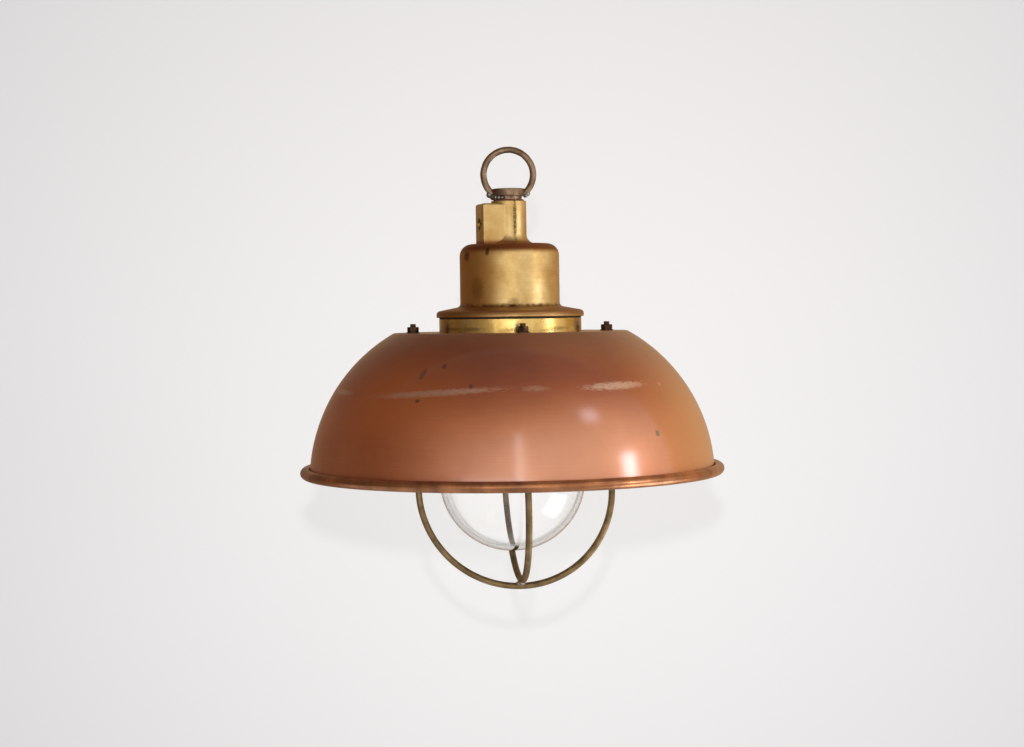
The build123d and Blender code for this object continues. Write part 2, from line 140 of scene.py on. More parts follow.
class Bar:
    """Round bar that grows from a capped end: its open ring is pushed, stepped and bent."""

    def __init__(self, mesh: bmesh.types.BMesh, place: Matrix, radius: float) -> None:
        """Lay the first cap.

        Args:
            mesh: mesh that takes the bar.
            place: centre of the cap and the way it faces, along local Z.
            radius: radius of the bar.
        """
        self.mesh = mesh
        made = bmesh.ops.create_circle(
            mesh, cap_ends=True, cap_tris=False, segments=ROUND_SIDES, radius=radius,
            matrix=place,
        )
        self.ring = list({edge for vert in made["verts"] for edge in vert.link_edges})

    def _verts(self) -> list[bmesh.types.BMVert]:
        """Vertices of the open ring."""
        return list({vert for edge in self.ring for vert in edge.verts})

    def push(self, offset: Vector, scale: float = 1.0) -> "Bar":
        """Extrude the open ring.

        Args:
            offset: how far it moves.
            scale: how much its radius changes.

        Returns:
            The bar, for the next stretch.
        """
        made = bmesh.ops.extrude_edge_only(self.mesh, edges=self.ring)
        self.ring = [item for item in made["geom"] if isinstance(item, bmesh.types.BMEdge)]
        verts = self._verts()
        bmesh.ops.translate(self.mesh, verts=verts, vec=offset)
        centre = sum((vert.co for vert in verts), Vector()) / len(verts)
        bmesh.ops.scale(
            self.mesh, verts=verts, vec=(scale,) * 3, space=Matrix.Translation(-centre),
        )
        return self

    def thread(self, offset: Vector, pitch: float, depth: float) -> "Bar":
        """Cut crests and roots along a straight stretch.

        Args:
            offset: the whole stretch.
            pitch: crest to crest.
            depth: share of the radius that a root loses.

        Returns:
            The bar, for the next stretch.
        """
        turns = round(offset.length / pitch)
        for _ in range(turns):
            self.push(offset / (2 * turns), 1 - depth)
            self.push(offset / (2 * turns), 1 / (1 - depth))
        return self

    def bend(self, centre: Vector, axis: Vector, angle: float, steps: int) -> "Bar":
        """Swing the open ring about an axis.

        Args:
            centre: point on the axis.
            axis: direction of the axis.
            angle: radians.
            steps: number of straight pieces.

        Returns:
            The bar, for the next stretch.
        """
        made = bmesh.ops.spin(
            self.mesh, geom=self.ring, cent=centre, axis=axis, angle=angle, steps=steps,
            use_merge=False,
        )
        self.ring = [item for item in made["geom_last"] if isinstance(item, bmesh.types.BMEdge)]
        return self

    def close(self) -> None:
        """Cap the open ring."""
        bmesh.ops.contextual_create(self.mesh, geom=self.ring)


def piece(
    name: str, mesh: bmesh.types.BMesh, finishes: Iterable[bpy.types.Material], body: str, slot: str,
    *nodes: str,
) -> bpy.types.Object:
    """Turn a finished bmesh into a shown piece.

    Args:
        name: name of the piece.
        mesh: the mesh, which is freed.
        finishes: one material for each material index.
        body: CAD body that it rides on.
        slot: the record's material slot; not used.
        nodes: CAD nodes that it stands for.

    Returns:
        The new object, at the origin.
    """
    for face in mesh.faces:
        face.smooth = True
    for edge in mesh.edges:
        edge.smooth = len(edge.link_faces) == 2 and edge.calc_face_angle(0) < SHARP_ANGLE
    data = bpy.data.meshes.new(name)
    mesh.to_mesh(data)
    mesh.free()
    made = bpy.data.objects.new(name, data)
    bpy.context.scene.collection.objects.link(made)
    for finish in finishes:
        data.materials.append(finish)
    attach(made, body)
    if nodes:
        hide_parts(*nodes)
    log.info("%s stands for %s on %s", name, ", ".join(nodes) or "nothing", body)
    return made


def settle(made: bpy.types.Object) -> None:
    """Apply an object's modifiers to its mesh.

    Args:
        made: the object.
    """
    graph = bpy.context.evaluated_depsgraph_get()
    made.data = bpy.data.meshes.new_from_object(made.evaluated_get(graph), depsgraph=graph)
    made.modifiers.clear()


def dress(finish: bpy.types.Material, *nodes: str) -> None:
    """Give CAD nodes a finish.

    Args:
        finish: material for the whole node.
        nodes: names of the nodes.
    """
    for node in nodes:
        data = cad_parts[node].data
        data.materials.clear()
        data.materials.append(finish)
        log.info("%s keeps its mesh, in %s", node, finish.name)


LUMP_CELL = 0.4 * MM             # cells of the skin of melted metal
LUMP_SMOOTHING = 5               # passes that let the skin flow
RIPPLE_SIZE = 2.2 * MM
RIPPLE_DEPTH = 0.25 * MM


def lumps(blobs: Sequence[tuple[Vector, float]]) -> bmesh.types.BMesh:
    """Melted metal: overlapping balls fused into one skin, smoothed and rippled.

    Args:
        blobs: centre and radius of each ball.

    Returns:
        The fused mesh.
    """
    mesh = bmesh.new()
    for centre, radius in blobs:
        bmesh.ops.create_icosphere(
            mesh, subdivisions=3, radius=radius, matrix=Matrix.Translation(centre),
        )
    data = bpy.data.meshes.new("lumps")
    mesh.to_mesh(data)
    mesh.clear()
    holder = bpy.data.objects.new("lumps", data)
    bpy.context.scene.collection.objects.link(holder)
    skin = holder.modifiers.new("skin", "REMESH")
    skin.mode = "VOXEL"
    skin.voxel_size = LUMP_CELL
    flow = holder.modifiers.new("flow", "SMOOTH")
    flow.iterations = LUMP_SMOOTHING
    settle(holder)
    mesh.from_mesh(holder.data)
    bpy.data.objects.remove(holder)
    for vert in mesh.verts:
        vert.co += vert.normal * noise.noise(vert.co / RIPPLE_SIZE) * RIPPLE_DEPTH
    bmesh.ops.recalc_face_normals(mesh, faces=mesh.faces)
    return mesh


# ---- finishes ---------------------------------------------------------------------------------

MIX_FIRST, MIX_SECOND = 6, 7     # a colour Mix node's A and B
STREAKS = (0.16, 1.3, 0)         # streaks per mm, along a worn mark and across it
GAP_FADE = 0.16                  # noise over which a gap in a worn mark fades
DUST_SIZE = 9.0                  # clouds of dust on glass, mm
PIT_SIZE = 3.1                   # clusters of corrosion spots, mm
# A noise lies mostly between 0.3 and 0.7.  Each pair says where its pattern starts and is full.
CLOUD_EDGES = (0.36, 0.64)
GLOSS_EDGES = (0.35, 0.65)
SPOT_EDGES = (0.66, 0.76)
STROKE_EDGES = (0.3, 0.7)
STAIN_EDGES = (0.42, 0.72)
STAIN_GLOSS_EDGES = (0.3, 0.7)
DUST_EDGES = (0.5, 0.85)
ROOT_DARK_EDGES = (0.3, 0.6)


def linear(colour: str) -> tuple[float, float, float, float]:
    """Turn an sRGB colour into a linear one.

    Args:
        colour: hex value such as #b87333.

    Returns:
        Red, green, blue and an alpha of 1.
    """
    channels = [int(colour[start:start + 2], 16) / 255 for start in (1, 3, 5)]
    straight = [c / 12.92 if c <= 0.04045 else ((c + 0.055) / 1.055) ** 2.4 for c in channels]
    return (*straight, 1.0)


def add(
    tree: bpy.types.NodeTree, kind: str, inputs: dict | None = None,
    stops: Sequence[tuple[float, str]] = (), **settings: object,
) -> bpy.types.NodeSocket:
    """Add a shader node.

    Args:
        tree: tree that takes it.
        kind: its type, without the ShaderNode prefix.
        inputs: for a socket's name or index, its value or the output that feeds it.
        stops: positions and hex colours of a colour ramp.
        settings: the node's own properties.

    Returns:
        Its first output that is in use.
    """
    node = tree.nodes.new("ShaderNode" + kind)
    for name, value in settings.items():
        setattr(node, name, value)
    for socket, value in (inputs or {}).items():
        if isinstance(value, bpy.types.NodeSocket):
            tree.links.new(value, node.inputs[socket])
        else:
            node.inputs[socket].default_value = value
    for index, (position, colour) in enumerate(stops):
        ramp = node.color_ramp.elements
        stop = ramp[index] if index < len(ramp) else ramp.new(position)
        stop.position = position
        stop.color = linear(colour)
    return next((output for output in node.outputs if output.enabled), None)


class Surface:
    """A material being built, with the frame's coordinates at hand in millimetres."""

    def __init__(self, name: str) -> None:
        """Start a material on the default shader.

        Args:
            name: what the real material is.
        """
        self.material = bpy.data.materials.new(name)
        self.material.use_nodes = True
        self.tree = self.material.node_tree
        self.shader = self.tree.nodes["Principled BSDF"]
        metres = self.add("TexCoord").node.outputs["Object"]
        self.point = self.add("VectorMath", {0: metres, "Scale": 1 / MM}, operation="SCALE")
        self.x, self.y, self.z = self.add("SeparateXYZ", {0: self.point}).node.outputs
        flat = self.add("VectorMath", {0: self.point, 1: (1, 1, 0)}, operation="MULTIPLY")
        self.radius = self.add("VectorMath", {0: flat}, operation="LENGTH").node.outputs["Value"]
        front = self.add("Math", {0: self.y, 1: -1.0}, operation="MULTIPLY")
        self.turn = self.add("Math", {0: self.x, 1: front}, operation="ARCTAN2")
        self.arc = self.add("Math", {0: self.turn, 1: self.radius}, operation="MULTIPLY")

    def add(
        self, kind: str, inputs: dict | None = None, stops: Sequence[tuple[float, str]] = (),
        **settings: object,
    ) -> bpy.types.NodeSocket:
        """Add a node to this material, as add() does."""
        return add(self.tree, kind, inputs, stops, **settings)

    def set(self, **sockets: object) -> None:
        """Set or link the shader's sockets.

        Args:
            sockets: value or output for each; an underscore in a name stands for a space.
        """
        for name, value in sockets.items():
            socket = self.shader.inputs[name.replace("_", " ")]
            if isinstance(value, bpy.types.NodeSocket):
                self.tree.links.new(value, socket)
            else:
                socket.default_value = value

    def layered(
        self, colour: bpy.types.NodeSocket, layers: Iterable[tuple[bpy.types.NodeSocket, str]],
    ) -> bpy.types.NodeSocket:
        """Lay colours over a colour, in turn.

        Args:
            colour: what lies underneath.
            layers: mask, white where the layer shows, and hex colour of each layer.

        Returns:
            The colour with its layers.
        """
        for mask, tint in layers:
            inputs = {0: mask, MIX_FIRST: colour, MIX_SECOND: linear(tint)}
            colour = self.add("Mix", inputs, data_type="RGBA")
        return colour

    def band(self, low: float, high: float, soft: float) -> bpy.types.NodeSocket:
        """Mask that is white between two heights.

        Args:
            low: lower height in mm.
            high: upper height in mm.
            soft: length over which each edge fades, in mm.

        Returns:
            The mask.
        """
        rise = {0: self.z, "From Min": low - soft, "From Max": low + soft}
        fall = {0: self.z, "From Min": high + soft, "From Max": high - soft}
        masks = [self.add("MapRange", edge, interpolation_type="SMOOTHSTEP") for edge in (rise, fall)]
        return self.add("Math", {0: masks[0], 1: masks[1]}, operation="MULTIPLY")


class Lay(Enum):
    """Way that the last tool's marks run: size of a mark along the arc, the radius and Z, in mm."""

    TURNED = (60.0, 0.7, 0.7)
    UPRIGHT = (0.9, 30.0, 30.0)
    CAST = (1.2, 1.2, 1.2)


@dataclass(frozen=True)
class Mark:
    """A mark on a turned wall."""

    turn: float              # degrees from the front, towards +X
    height: float            # mm
    half_width: float        # mm along the wall
    half_height: float       # mm
    colour: str
    hides: float = 0.9       # share of the metal's colour that it hides
    slope: float = 0.0       # rise over run
    broken: float = 0.0      # 0 for a solid mark, 1 for one worn into streaks
    cloud: bool = False      # a tint that fades out, in place of a ragged outline

    def mask(self, surface: Surface) -> bpy.types.NodeSocket:
        """Mask of the mark on a surface.

        Args:
            surface: material that takes it.

        Returns:
            The mask, from 0 to the share that it hides.
        """
        add_node = surface.add
        swing = add_node("Math", {0: surface.turn, 1: math.radians(self.turn)}, operation="SUBTRACT")
        swing = add_node("Math", {0: swing, 1: math.pi, 2: -math.pi}, operation="WRAP")
        along = add_node("Math", {0: swing, 1: surface.radius}, operation="MULTIPLY")
        lean = add_node("Math", {0: along, 1: -self.slope, 2: surface.z}, operation="MULTIPLY_ADD")
        up = add_node("Math", {0: lean, 1: self.height}, operation="SUBTRACT")
        place = add_node("CombineXYZ", {"X": along, "Y": up})
        size = (1 / self.half_width, 1 / self.half_height, 0)
        spot = add_node("VectorMath", {0: place, 1: size}, operation="MULTIPLY")
        reach = add_node("VectorMath", {0: spot}, operation="LENGTH").node.outputs["Value"]
        # The reach is 1 on the mark's nominal outline.
        if self.cloud:
            fade = {0: reach, "From Min": 1.6, "From Max": 0.2, "To Max": self.hides}
            return add_node("MapRange", fade, interpolation_type="SMOOTHSTEP")
        streaks = add_node("VectorMath", {0: place, 1: STREAKS}, operation="MULTIPLY")
        grain = add_node("TexNoise", {"Vector": streaks, "Scale": 1.0, "Detail": 4.0})
        tear = 1.3 + 1.8 * self.broken                   # how far the noise moves the outline
        whole = tear / 2 + 0.6                           # where the mark starts to fade
        gone = tear / 2 + 1.3 - 0.2 * self.broken        # where it ends
        bare = 0.42 * self.broken                        # noise below this is a gap
        ragged = add_node("Math", {0: grain, 1: tear, 2: reach}, operation="MULTIPLY_ADD")
        edge = {0: ragged, "From Min": gone, "From Max": whole, "To Max": self.hides}
        shape = add_node("MapRange", edge, interpolation_type="SMOOTHSTEP")
        gaps = {0: grain, "From Min": bare, "From Max": bare + GAP_FADE}
        worn = add_node("MapRange", gaps)
        return add_node("Math", {0: shape, 1: worn}, operation="MULTIPLY")


@dataclass(frozen=True)
class Metal:
    """Worked metal: clouds of tarnish over a base colour, tool marks, specks and a thin coat."""

    name: str
    bright: str                      # where hands and cloths keep it clean
    dull: str                        # tarnished clouds
    speck: str                       # small dark spots of corrosion
    cloud: float = 22.0              # size of the tarnish clouds, mm
    lay: Lay = Lay.CAST
    depth: float = 0.012             # depth of the tool marks, mm
    rough: tuple[float, float] = (0.28, 0.42)
    specks: float = 0.5              # share of the specks that show
    coat: float = 0.0                # weight of the lacquer
    coat_rough: float = 0.1
    coat_ior: float = 1.5
    marks: tuple[Mark, ...] = ()

    def tone(self, surface: Surface, colour: bpy.types.NodeSocket) -> bpy.types.NodeSocket:
        """Change the colour before the marks; a finish with zones of its own overrides this."""
        return colour

    def make(self) -> bpy.types.Material:
        """Build the material.

        Returns:
            The material.
        """
        surface = Surface(self.name)
        clouds = surface.add(
            "TexNoise",
            {"Vector": surface.point, "Scale": 1 / self.cloud, "Detail": 5.0, "Roughness": 0.6},
        )
        start, full = CLOUD_EDGES
        haze = surface.add("MapRange", {0: clouds, "From Min": start, "From Max": full})
        colour = surface.add(
            "Mix", {0: haze, MIX_FIRST: linear(self.bright), MIX_SECOND: linear(self.dull)},
            data_type="RGBA",
        )
        along, across, up = self.lay.value
        place = surface.add(
            "CombineXYZ", {"X": surface.arc, "Y": surface.radius, "Z": surface.z},
        )
        sizes = (1 / along, 1 / across, 1 / up)
        strokes = surface.add("VectorMath", {0: place, 1: sizes}, operation="MULTIPLY")
        cuts = surface.add("TexNoise", {"Vector": strokes, "Scale": 1.0, "Detail": 3.0})
        pits = surface.add(
            "TexNoise",
            {"Vector": surface.point, "Scale": 1 / PIT_SIZE, "Detail": 6.0, "Roughness": 0.7},
        )
        start, full = SPOT_EDGES
        spots = surface.add(
            "MapRange", {0: pits, "From Min": start, "From Max": full, "To Max": self.specks},
        )
        # A tool mark darkens or lightens the metal by a few percent.
        start, full = STROKE_EDGES
        streak = surface.add("MapRange", {0: cuts, "From Min": start, "From Max": full,
                                          "To Min": 0.93, "To Max": 1.05})
        colour = surface.add(
            "Mix", {0: 1.0, MIX_FIRST: colour, MIX_SECOND: streak}, data_type="RGBA",
            blend_type="MULTIPLY",
        )
        colour = surface.layered(colour, [(spots, self.speck)])
        colour = self.tone(surface, colour)
        colour = surface.layered(
            colour, [(mark.mask(surface), mark.colour) for mark in self.marks],
        )
        start, full = GLOSS_EDGES
        gloss = surface.add(
            "MapRange",
            {0: clouds, "From Min": start, "From Max": full, "To Min": self.rough[0],
             "To Max": self.rough[1]},
        )
        # A speck is rougher than the metal round it, and lies lower.
        gloss = surface.add("Math", {0: spots, 1: 0.25, 2: gloss}, operation="MULTIPLY_ADD")
        height = surface.add("Math", {0: spots, 1: -0.6, 2: cuts}, operation="MULTIPLY_ADD")
        bump = surface.add(
            "Bump", {"Strength": 1.0, "Distance": self.depth * MM, "Height": height},
        )
        surface.set(
            Base_Color=colour, Metallic=1.0, Roughness=gloss, Normal=bump,
            Coat_Weight=self.coat, Coat_Roughness=self.coat_rough, Coat_IOR=self.coat_ior,
        )
        return surface.material


@dataclass(frozen=True)
class SpunCopper(Metal):
    """Spun copper under old lacquer: top browned and in painted shade, orange at half height, pink
    below.
    """

    top: float = -178.0              # height of the flat top, mm
    foot: float = -316.0             # height of the bead, mm

    def tone(self, surface: Surface, colour: bpy.types.NodeSocket) -> bpy.types.NodeSocket:
        """Darken the copper towards the top: lacquer browning and painted shade of the dim room it
        reflects.

        Args:
            surface: material that takes it.
            colour: the copper's own colour.

        Returns:
            The shaded colour.
        """
        drop = surface.add("MapRange", {0: surface.z, "From Min": self.top, "From Max": self.foot})
        # Browning and painted shade: dark at the top, nearly clean at the foot.
        browning_and_shade = surface.add(
            "ValToRGB", {0: drop},
            stops=((0.0, "#aa9383"), (0.35, "#ddb997"), (0.6, "#fff0dc"), (1.0, "#fff6f0")),
        )
        return surface.add(
            "Mix", {0: 1.0, MIX_FIRST: colour, MIX_SECOND: browning_and_shade}, data_type="RGBA",
            blend_type="MULTIPLY",
        )


@dataclass(frozen=True)
class CastBrass(Metal):
    """Cast brass, turned and lacquered: red shoulder, a side redder as painted shade, root darker in
    patches.
    """

    shoulder: float = -90.0          # height of the shoulder, mm
    root: float = -152.6             # height of the flange's root, mm
    waist: float = 49.7              # radius of the body, mm
    # Painted shade: the redder side is the one turned away from the light.
    painted_shade_turn: float = -100.0         # middle of the redder side, in degrees from the front
    painted_shade_full: float = 68.0           # degrees to either side of it where the red starts to fade
    painted_shade_end: float = 98.0            # and where it ends
    painted_shade_share: float = 0.8

    def tone(self, surface: Surface, colour: bpy.types.NodeSocket) -> bpy.types.NodeSocket:
        """Redden the shoulder, redden one side as painted shade, darken the root of the flange in
        patches.

        Args:
            surface: material that takes it.
            colour: the brass's own colour.

        Returns:
            The colour with its zones.
        """
        swing = surface.add(
            "Math", {0: surface.turn, 1: math.radians(self.painted_shade_turn)}, operation="SUBTRACT",
        )
        swing = surface.add("Math", {0: swing, 1: math.pi, 2: -math.pi}, operation="WRAP")
        swing = surface.add("Math", {0: swing}, operation="ABSOLUTE")
        painted_shade_side = surface.add(
            "MapRange",
            {0: swing, "From Min": math.radians(self.painted_shade_end),
             "From Max": math.radians(self.painted_shade_full), "To Max": self.painted_shade_share},
            interpolation_type="SMOOTHSTEP",
        )
        # Each zone's low edge, high edge and fade, in mm.
        body = surface.band(self.root - 30.0, self.shoulder, 3.0)
        # Painted shade: the side turned from the light is redder and darker.
        red = surface.add("Math", {0: painted_shade_side, 1: body}, operation="MULTIPLY")
        patina = surface.band(self.shoulder - 8.0, self.shoulder + 2.0, 2.5)
        ledge = surface.band(self.root - 9.0, self.root - 1.0, 1.5)
        # The root is darker, in patches only.
        root_dark = surface.band(self.root - 3.5, self.root + 2.0, 2.2)
        ragged = surface.add("TexNoise", {"Vector": surface.point, "Scale": 0.25, "Detail": 4.0})
        start, full = ROOT_DARK_EDGES
        thick = surface.add("MapRange", {0: ragged, "From Min": start, "From Max": full})
        near = surface.add("MapRange", {0: surface.radius, "From Min": self.waist + 6.0,
                                        "From Max": self.waist + 2.0})
        for limit in (thick, near):
            root_dark = surface.add("Math", {0: root_dark, 1: limit}, operation="MULTIPLY")
        layers = ((red, "#c38b47"), (patina, "#905a34"), (ledge, "#a57c50"), (root_dark, "#5f3f26"))
        return surface.layered(colour, layers)


@dataclass(frozen=True)
class Coating:
    """Opaque non-metal: enamel, porcelain, rubber or fibre."""

    name: str
    clean: str                       # colour where it is clean
    worn: str                        # colour of the stains
    roughness: float
    ior: float
    cloud: float                     # size of the stains, mm
    grain: float                     # size of the surface's grain, mm
    depth: float                     # depth of the grain, mm
    stain_rough: float = 0.15        # how much rougher a stain is

    def make(self) -> bpy.types.Material:
        """Build the material.

        Returns:
            The material.
        """
        surface = Surface(self.name)
        stains = surface.add(
            "TexNoise",
            {"Vector": surface.point, "Scale": 1 / self.cloud, "Detail": 6.0, "Roughness": 0.65},
        )
        start, full = STAIN_EDGES
        amount = surface.add("MapRange", {0: stains, "From Min": start, "From Max": full})
        colour = surface.add(
            "Mix", {0: amount, MIX_FIRST: linear(self.clean), MIX_SECOND: linear(self.worn)},
            data_type="RGBA",
        )
        start, full = STAIN_GLOSS_EDGES
        gloss = surface.add(
            "MapRange",
            {0: stains, "From Min": start, "From Max": full, "To Min": self.roughness,
             "To Max": self.roughness + self.stain_rough},
        )
        grain = surface.add("TexNoise", {"Vector": surface.point, "Scale": 1 / self.grain})
        bump = surface.add("Bump", {"Strength": 1.0, "Distance": self.depth * MM, "Height": grain})
        surface.set(Base_Color=colour, Roughness=gloss, IOR=self.ior, Normal=bump)
        return surface.material


@dataclass(frozen=True)
class ClearGlass:
    """Blown or pressed clear glass with a little dust and a painted dark line where seen edge-on."""

    name: str
    tint: str
    wave: float                      # size of the wall's waves, mm
    depth: float                     # depth of the waves, mm
    roughness: float = 0.0
    dust_rough: float = 0.02         # how much rougher the dust is
    # Painted shade: the outline darkens the glass's colour where its wall is seen edge-on.
    outline: float = 0.0             # how much of the line shows where the wall is seen edge-on
    line: str = "#3a3f3b"            # the line's colour
    # How far the wall faces away where the line starts and is full: 0 square on, 1 edge-on.
    turned: tuple[float, float] = (0.54, 0.9)

    def make(self) -> bpy.types.Material:
        """Build the material.

        Returns:
            The material.
        """
        surface = Surface(self.name)
        wave = surface.add("TexNoise", {"Vector": surface.point, "Scale": 1 / self.wave,
                                        "Detail": 1.0})
        bump = surface.add("Bump", {"Strength": 1.0, "Distance": self.depth * MM, "Height": wave})
        dust = surface.add(
            "TexNoise", {"Vector": surface.point, "Scale": 1 / DUST_SIZE, "Detail": 6.0},
        )
        start, full = DUST_EDGES
        haze = surface.add(
            "MapRange",
            {0: dust, "From Min": start, "From Max": full, "To Min": self.roughness,
             "To Max": self.roughness + self.dust_rough},
        )
        # Painted shade: a thick wall seen edge-on reads as a dark line, so the glass's colour darkens
        # there.
        edge = surface.add("LayerWeight", {"Blend": 0.5}).node.outputs["Facing"]
        start, full = self.turned
        line = surface.add(
            "MapRange", {0: edge, "From Min": start, "From Max": full, "To Max": self.outline},
            interpolation_type="SMOOTHSTEP",
        )
        colour = surface.add(
            "Mix", {0: line, MIX_FIRST: linear(self.tint), MIX_SECOND: linear(self.line)},
            data_type="RGBA",
        )
        surface.set(
            Base_Color=colour, Roughness=haze, IOR=1.5, Transmission_Weight=1.0, Normal=bump,
        )
        # Light reaches what is behind the glass: shadow rays pass straight through.
        ray = surface.add("LightPath").node.outputs["Is Shadow Ray"]
        through = surface.add("BsdfTransparent", {"Color": linear("#eef1ef")})
        shade = surface.add(
            "MixShader", {0: ray, 1: surface.shader.outputs["BSDF"], 2: through},
        )
        surface.tree.links.new(shade, surface.tree.nodes["Material Output"].inputs["Surface"])
        return surface.material


# ---- the studio ---------------------------------------------------------------------------------


@dataclass
class Window:
    """A soft light with the shape of a window pane: places and sizes in metres."""

    name: str
    place: tuple[float, float, float]
    size: tuple[float, float]        # width and height
    glow: float                      # radiance; the lit wall has about 1
    colour: str = "#ffffff"
    aim: tuple[float, float, float] = (0, 0, -0.27)          # middle of the lantern
    mirrored: bool = True            # whether polished metal and glass show it
    spreads: bool = True             # whether it lights matt surfaces

    def build(self) -> None:
        """Hang the light and turn it to its aim."""
        lamp = bpy.data.lights.new(self.name, "AREA")
        lamp.shape = "RECTANGLE"
        lamp.size, lamp.size_y = self.size
        lamp.energy = self.glow * math.pi * self.size[0] * self.size[1]
        lamp.color = linear(self.colour)[:3]
        holder = bpy.data.objects.new(self.name, lamp)
        holder.location = self.place
        way = Vector(self.aim) - Vector(self.place)
        holder.rotation_euler = way.to_track_quat("-Z", "Y").to_euler()
        holder.visible_camera = False
        holder.visible_glossy = self.mirrored
        holder.visible_diffuse = self.spreads
        bpy.context.scene.collection.objects.link(holder)


@dataclass
class Cloth:
    """A dim graded cloth before the wall, which only polished metal shows."""

    left: str = "#755c49"
    right: str = "#c4a581"
    dye: str = "#1c1815"             # what it gives back of the lights
    fade: float = 700.0              # mm to either side over which its colour changes
    distance: float = 0.42           # lamp axis to the cloth
    size: tuple[float, float] = (6.8, 3.9)
    height: float = 0.75             # its middle

    def build(self) -> None:
        """Stand the cloth up."""
        mesh = bmesh.new()
        stand = (
            Matrix.Translation((0, self.distance, self.height))
            @ Matrix.Rotation(math.radians(90), 4, "X") @ Matrix.Diagonal((*self.size, 1, 1))
        )
        bmesh.ops.create_grid(mesh, x_segments=1, y_segments=1, size=0.5, matrix=stand)
        data = bpy.data.meshes.new("cloth")
        mesh.to_mesh(data)
        mesh.free()
        # Matt cloth in shade, brown at one end and tan at the other: it gives the metal its dark
        # and pale sides.
        weave = Surface("dim graded cloth")
        side = weave.add(
            "MapRange", {0: weave.x, "From Min": -self.fade, "From Max": self.fade},
            interpolation_type="SMOOTHSTEP",
        )
        glow = weave.add("ValToRGB", {0: side}, stops=((0.0, self.left), (1.0, self.right)))
        weave.set(Base_Color=linear(self.dye), Roughness=0.95, Emission_Color=glow,
                  Emission_Strength=1.0)
        data.materials.append(weave.material)
        cloth = bpy.data.objects.new("cloth", data)
        cloth.visible_camera = cloth.visible_transmission = False
        cloth.visible_diffuse = cloth.visible_shadow = False
        bpy.context.scene.collection.objects.link(cloth)


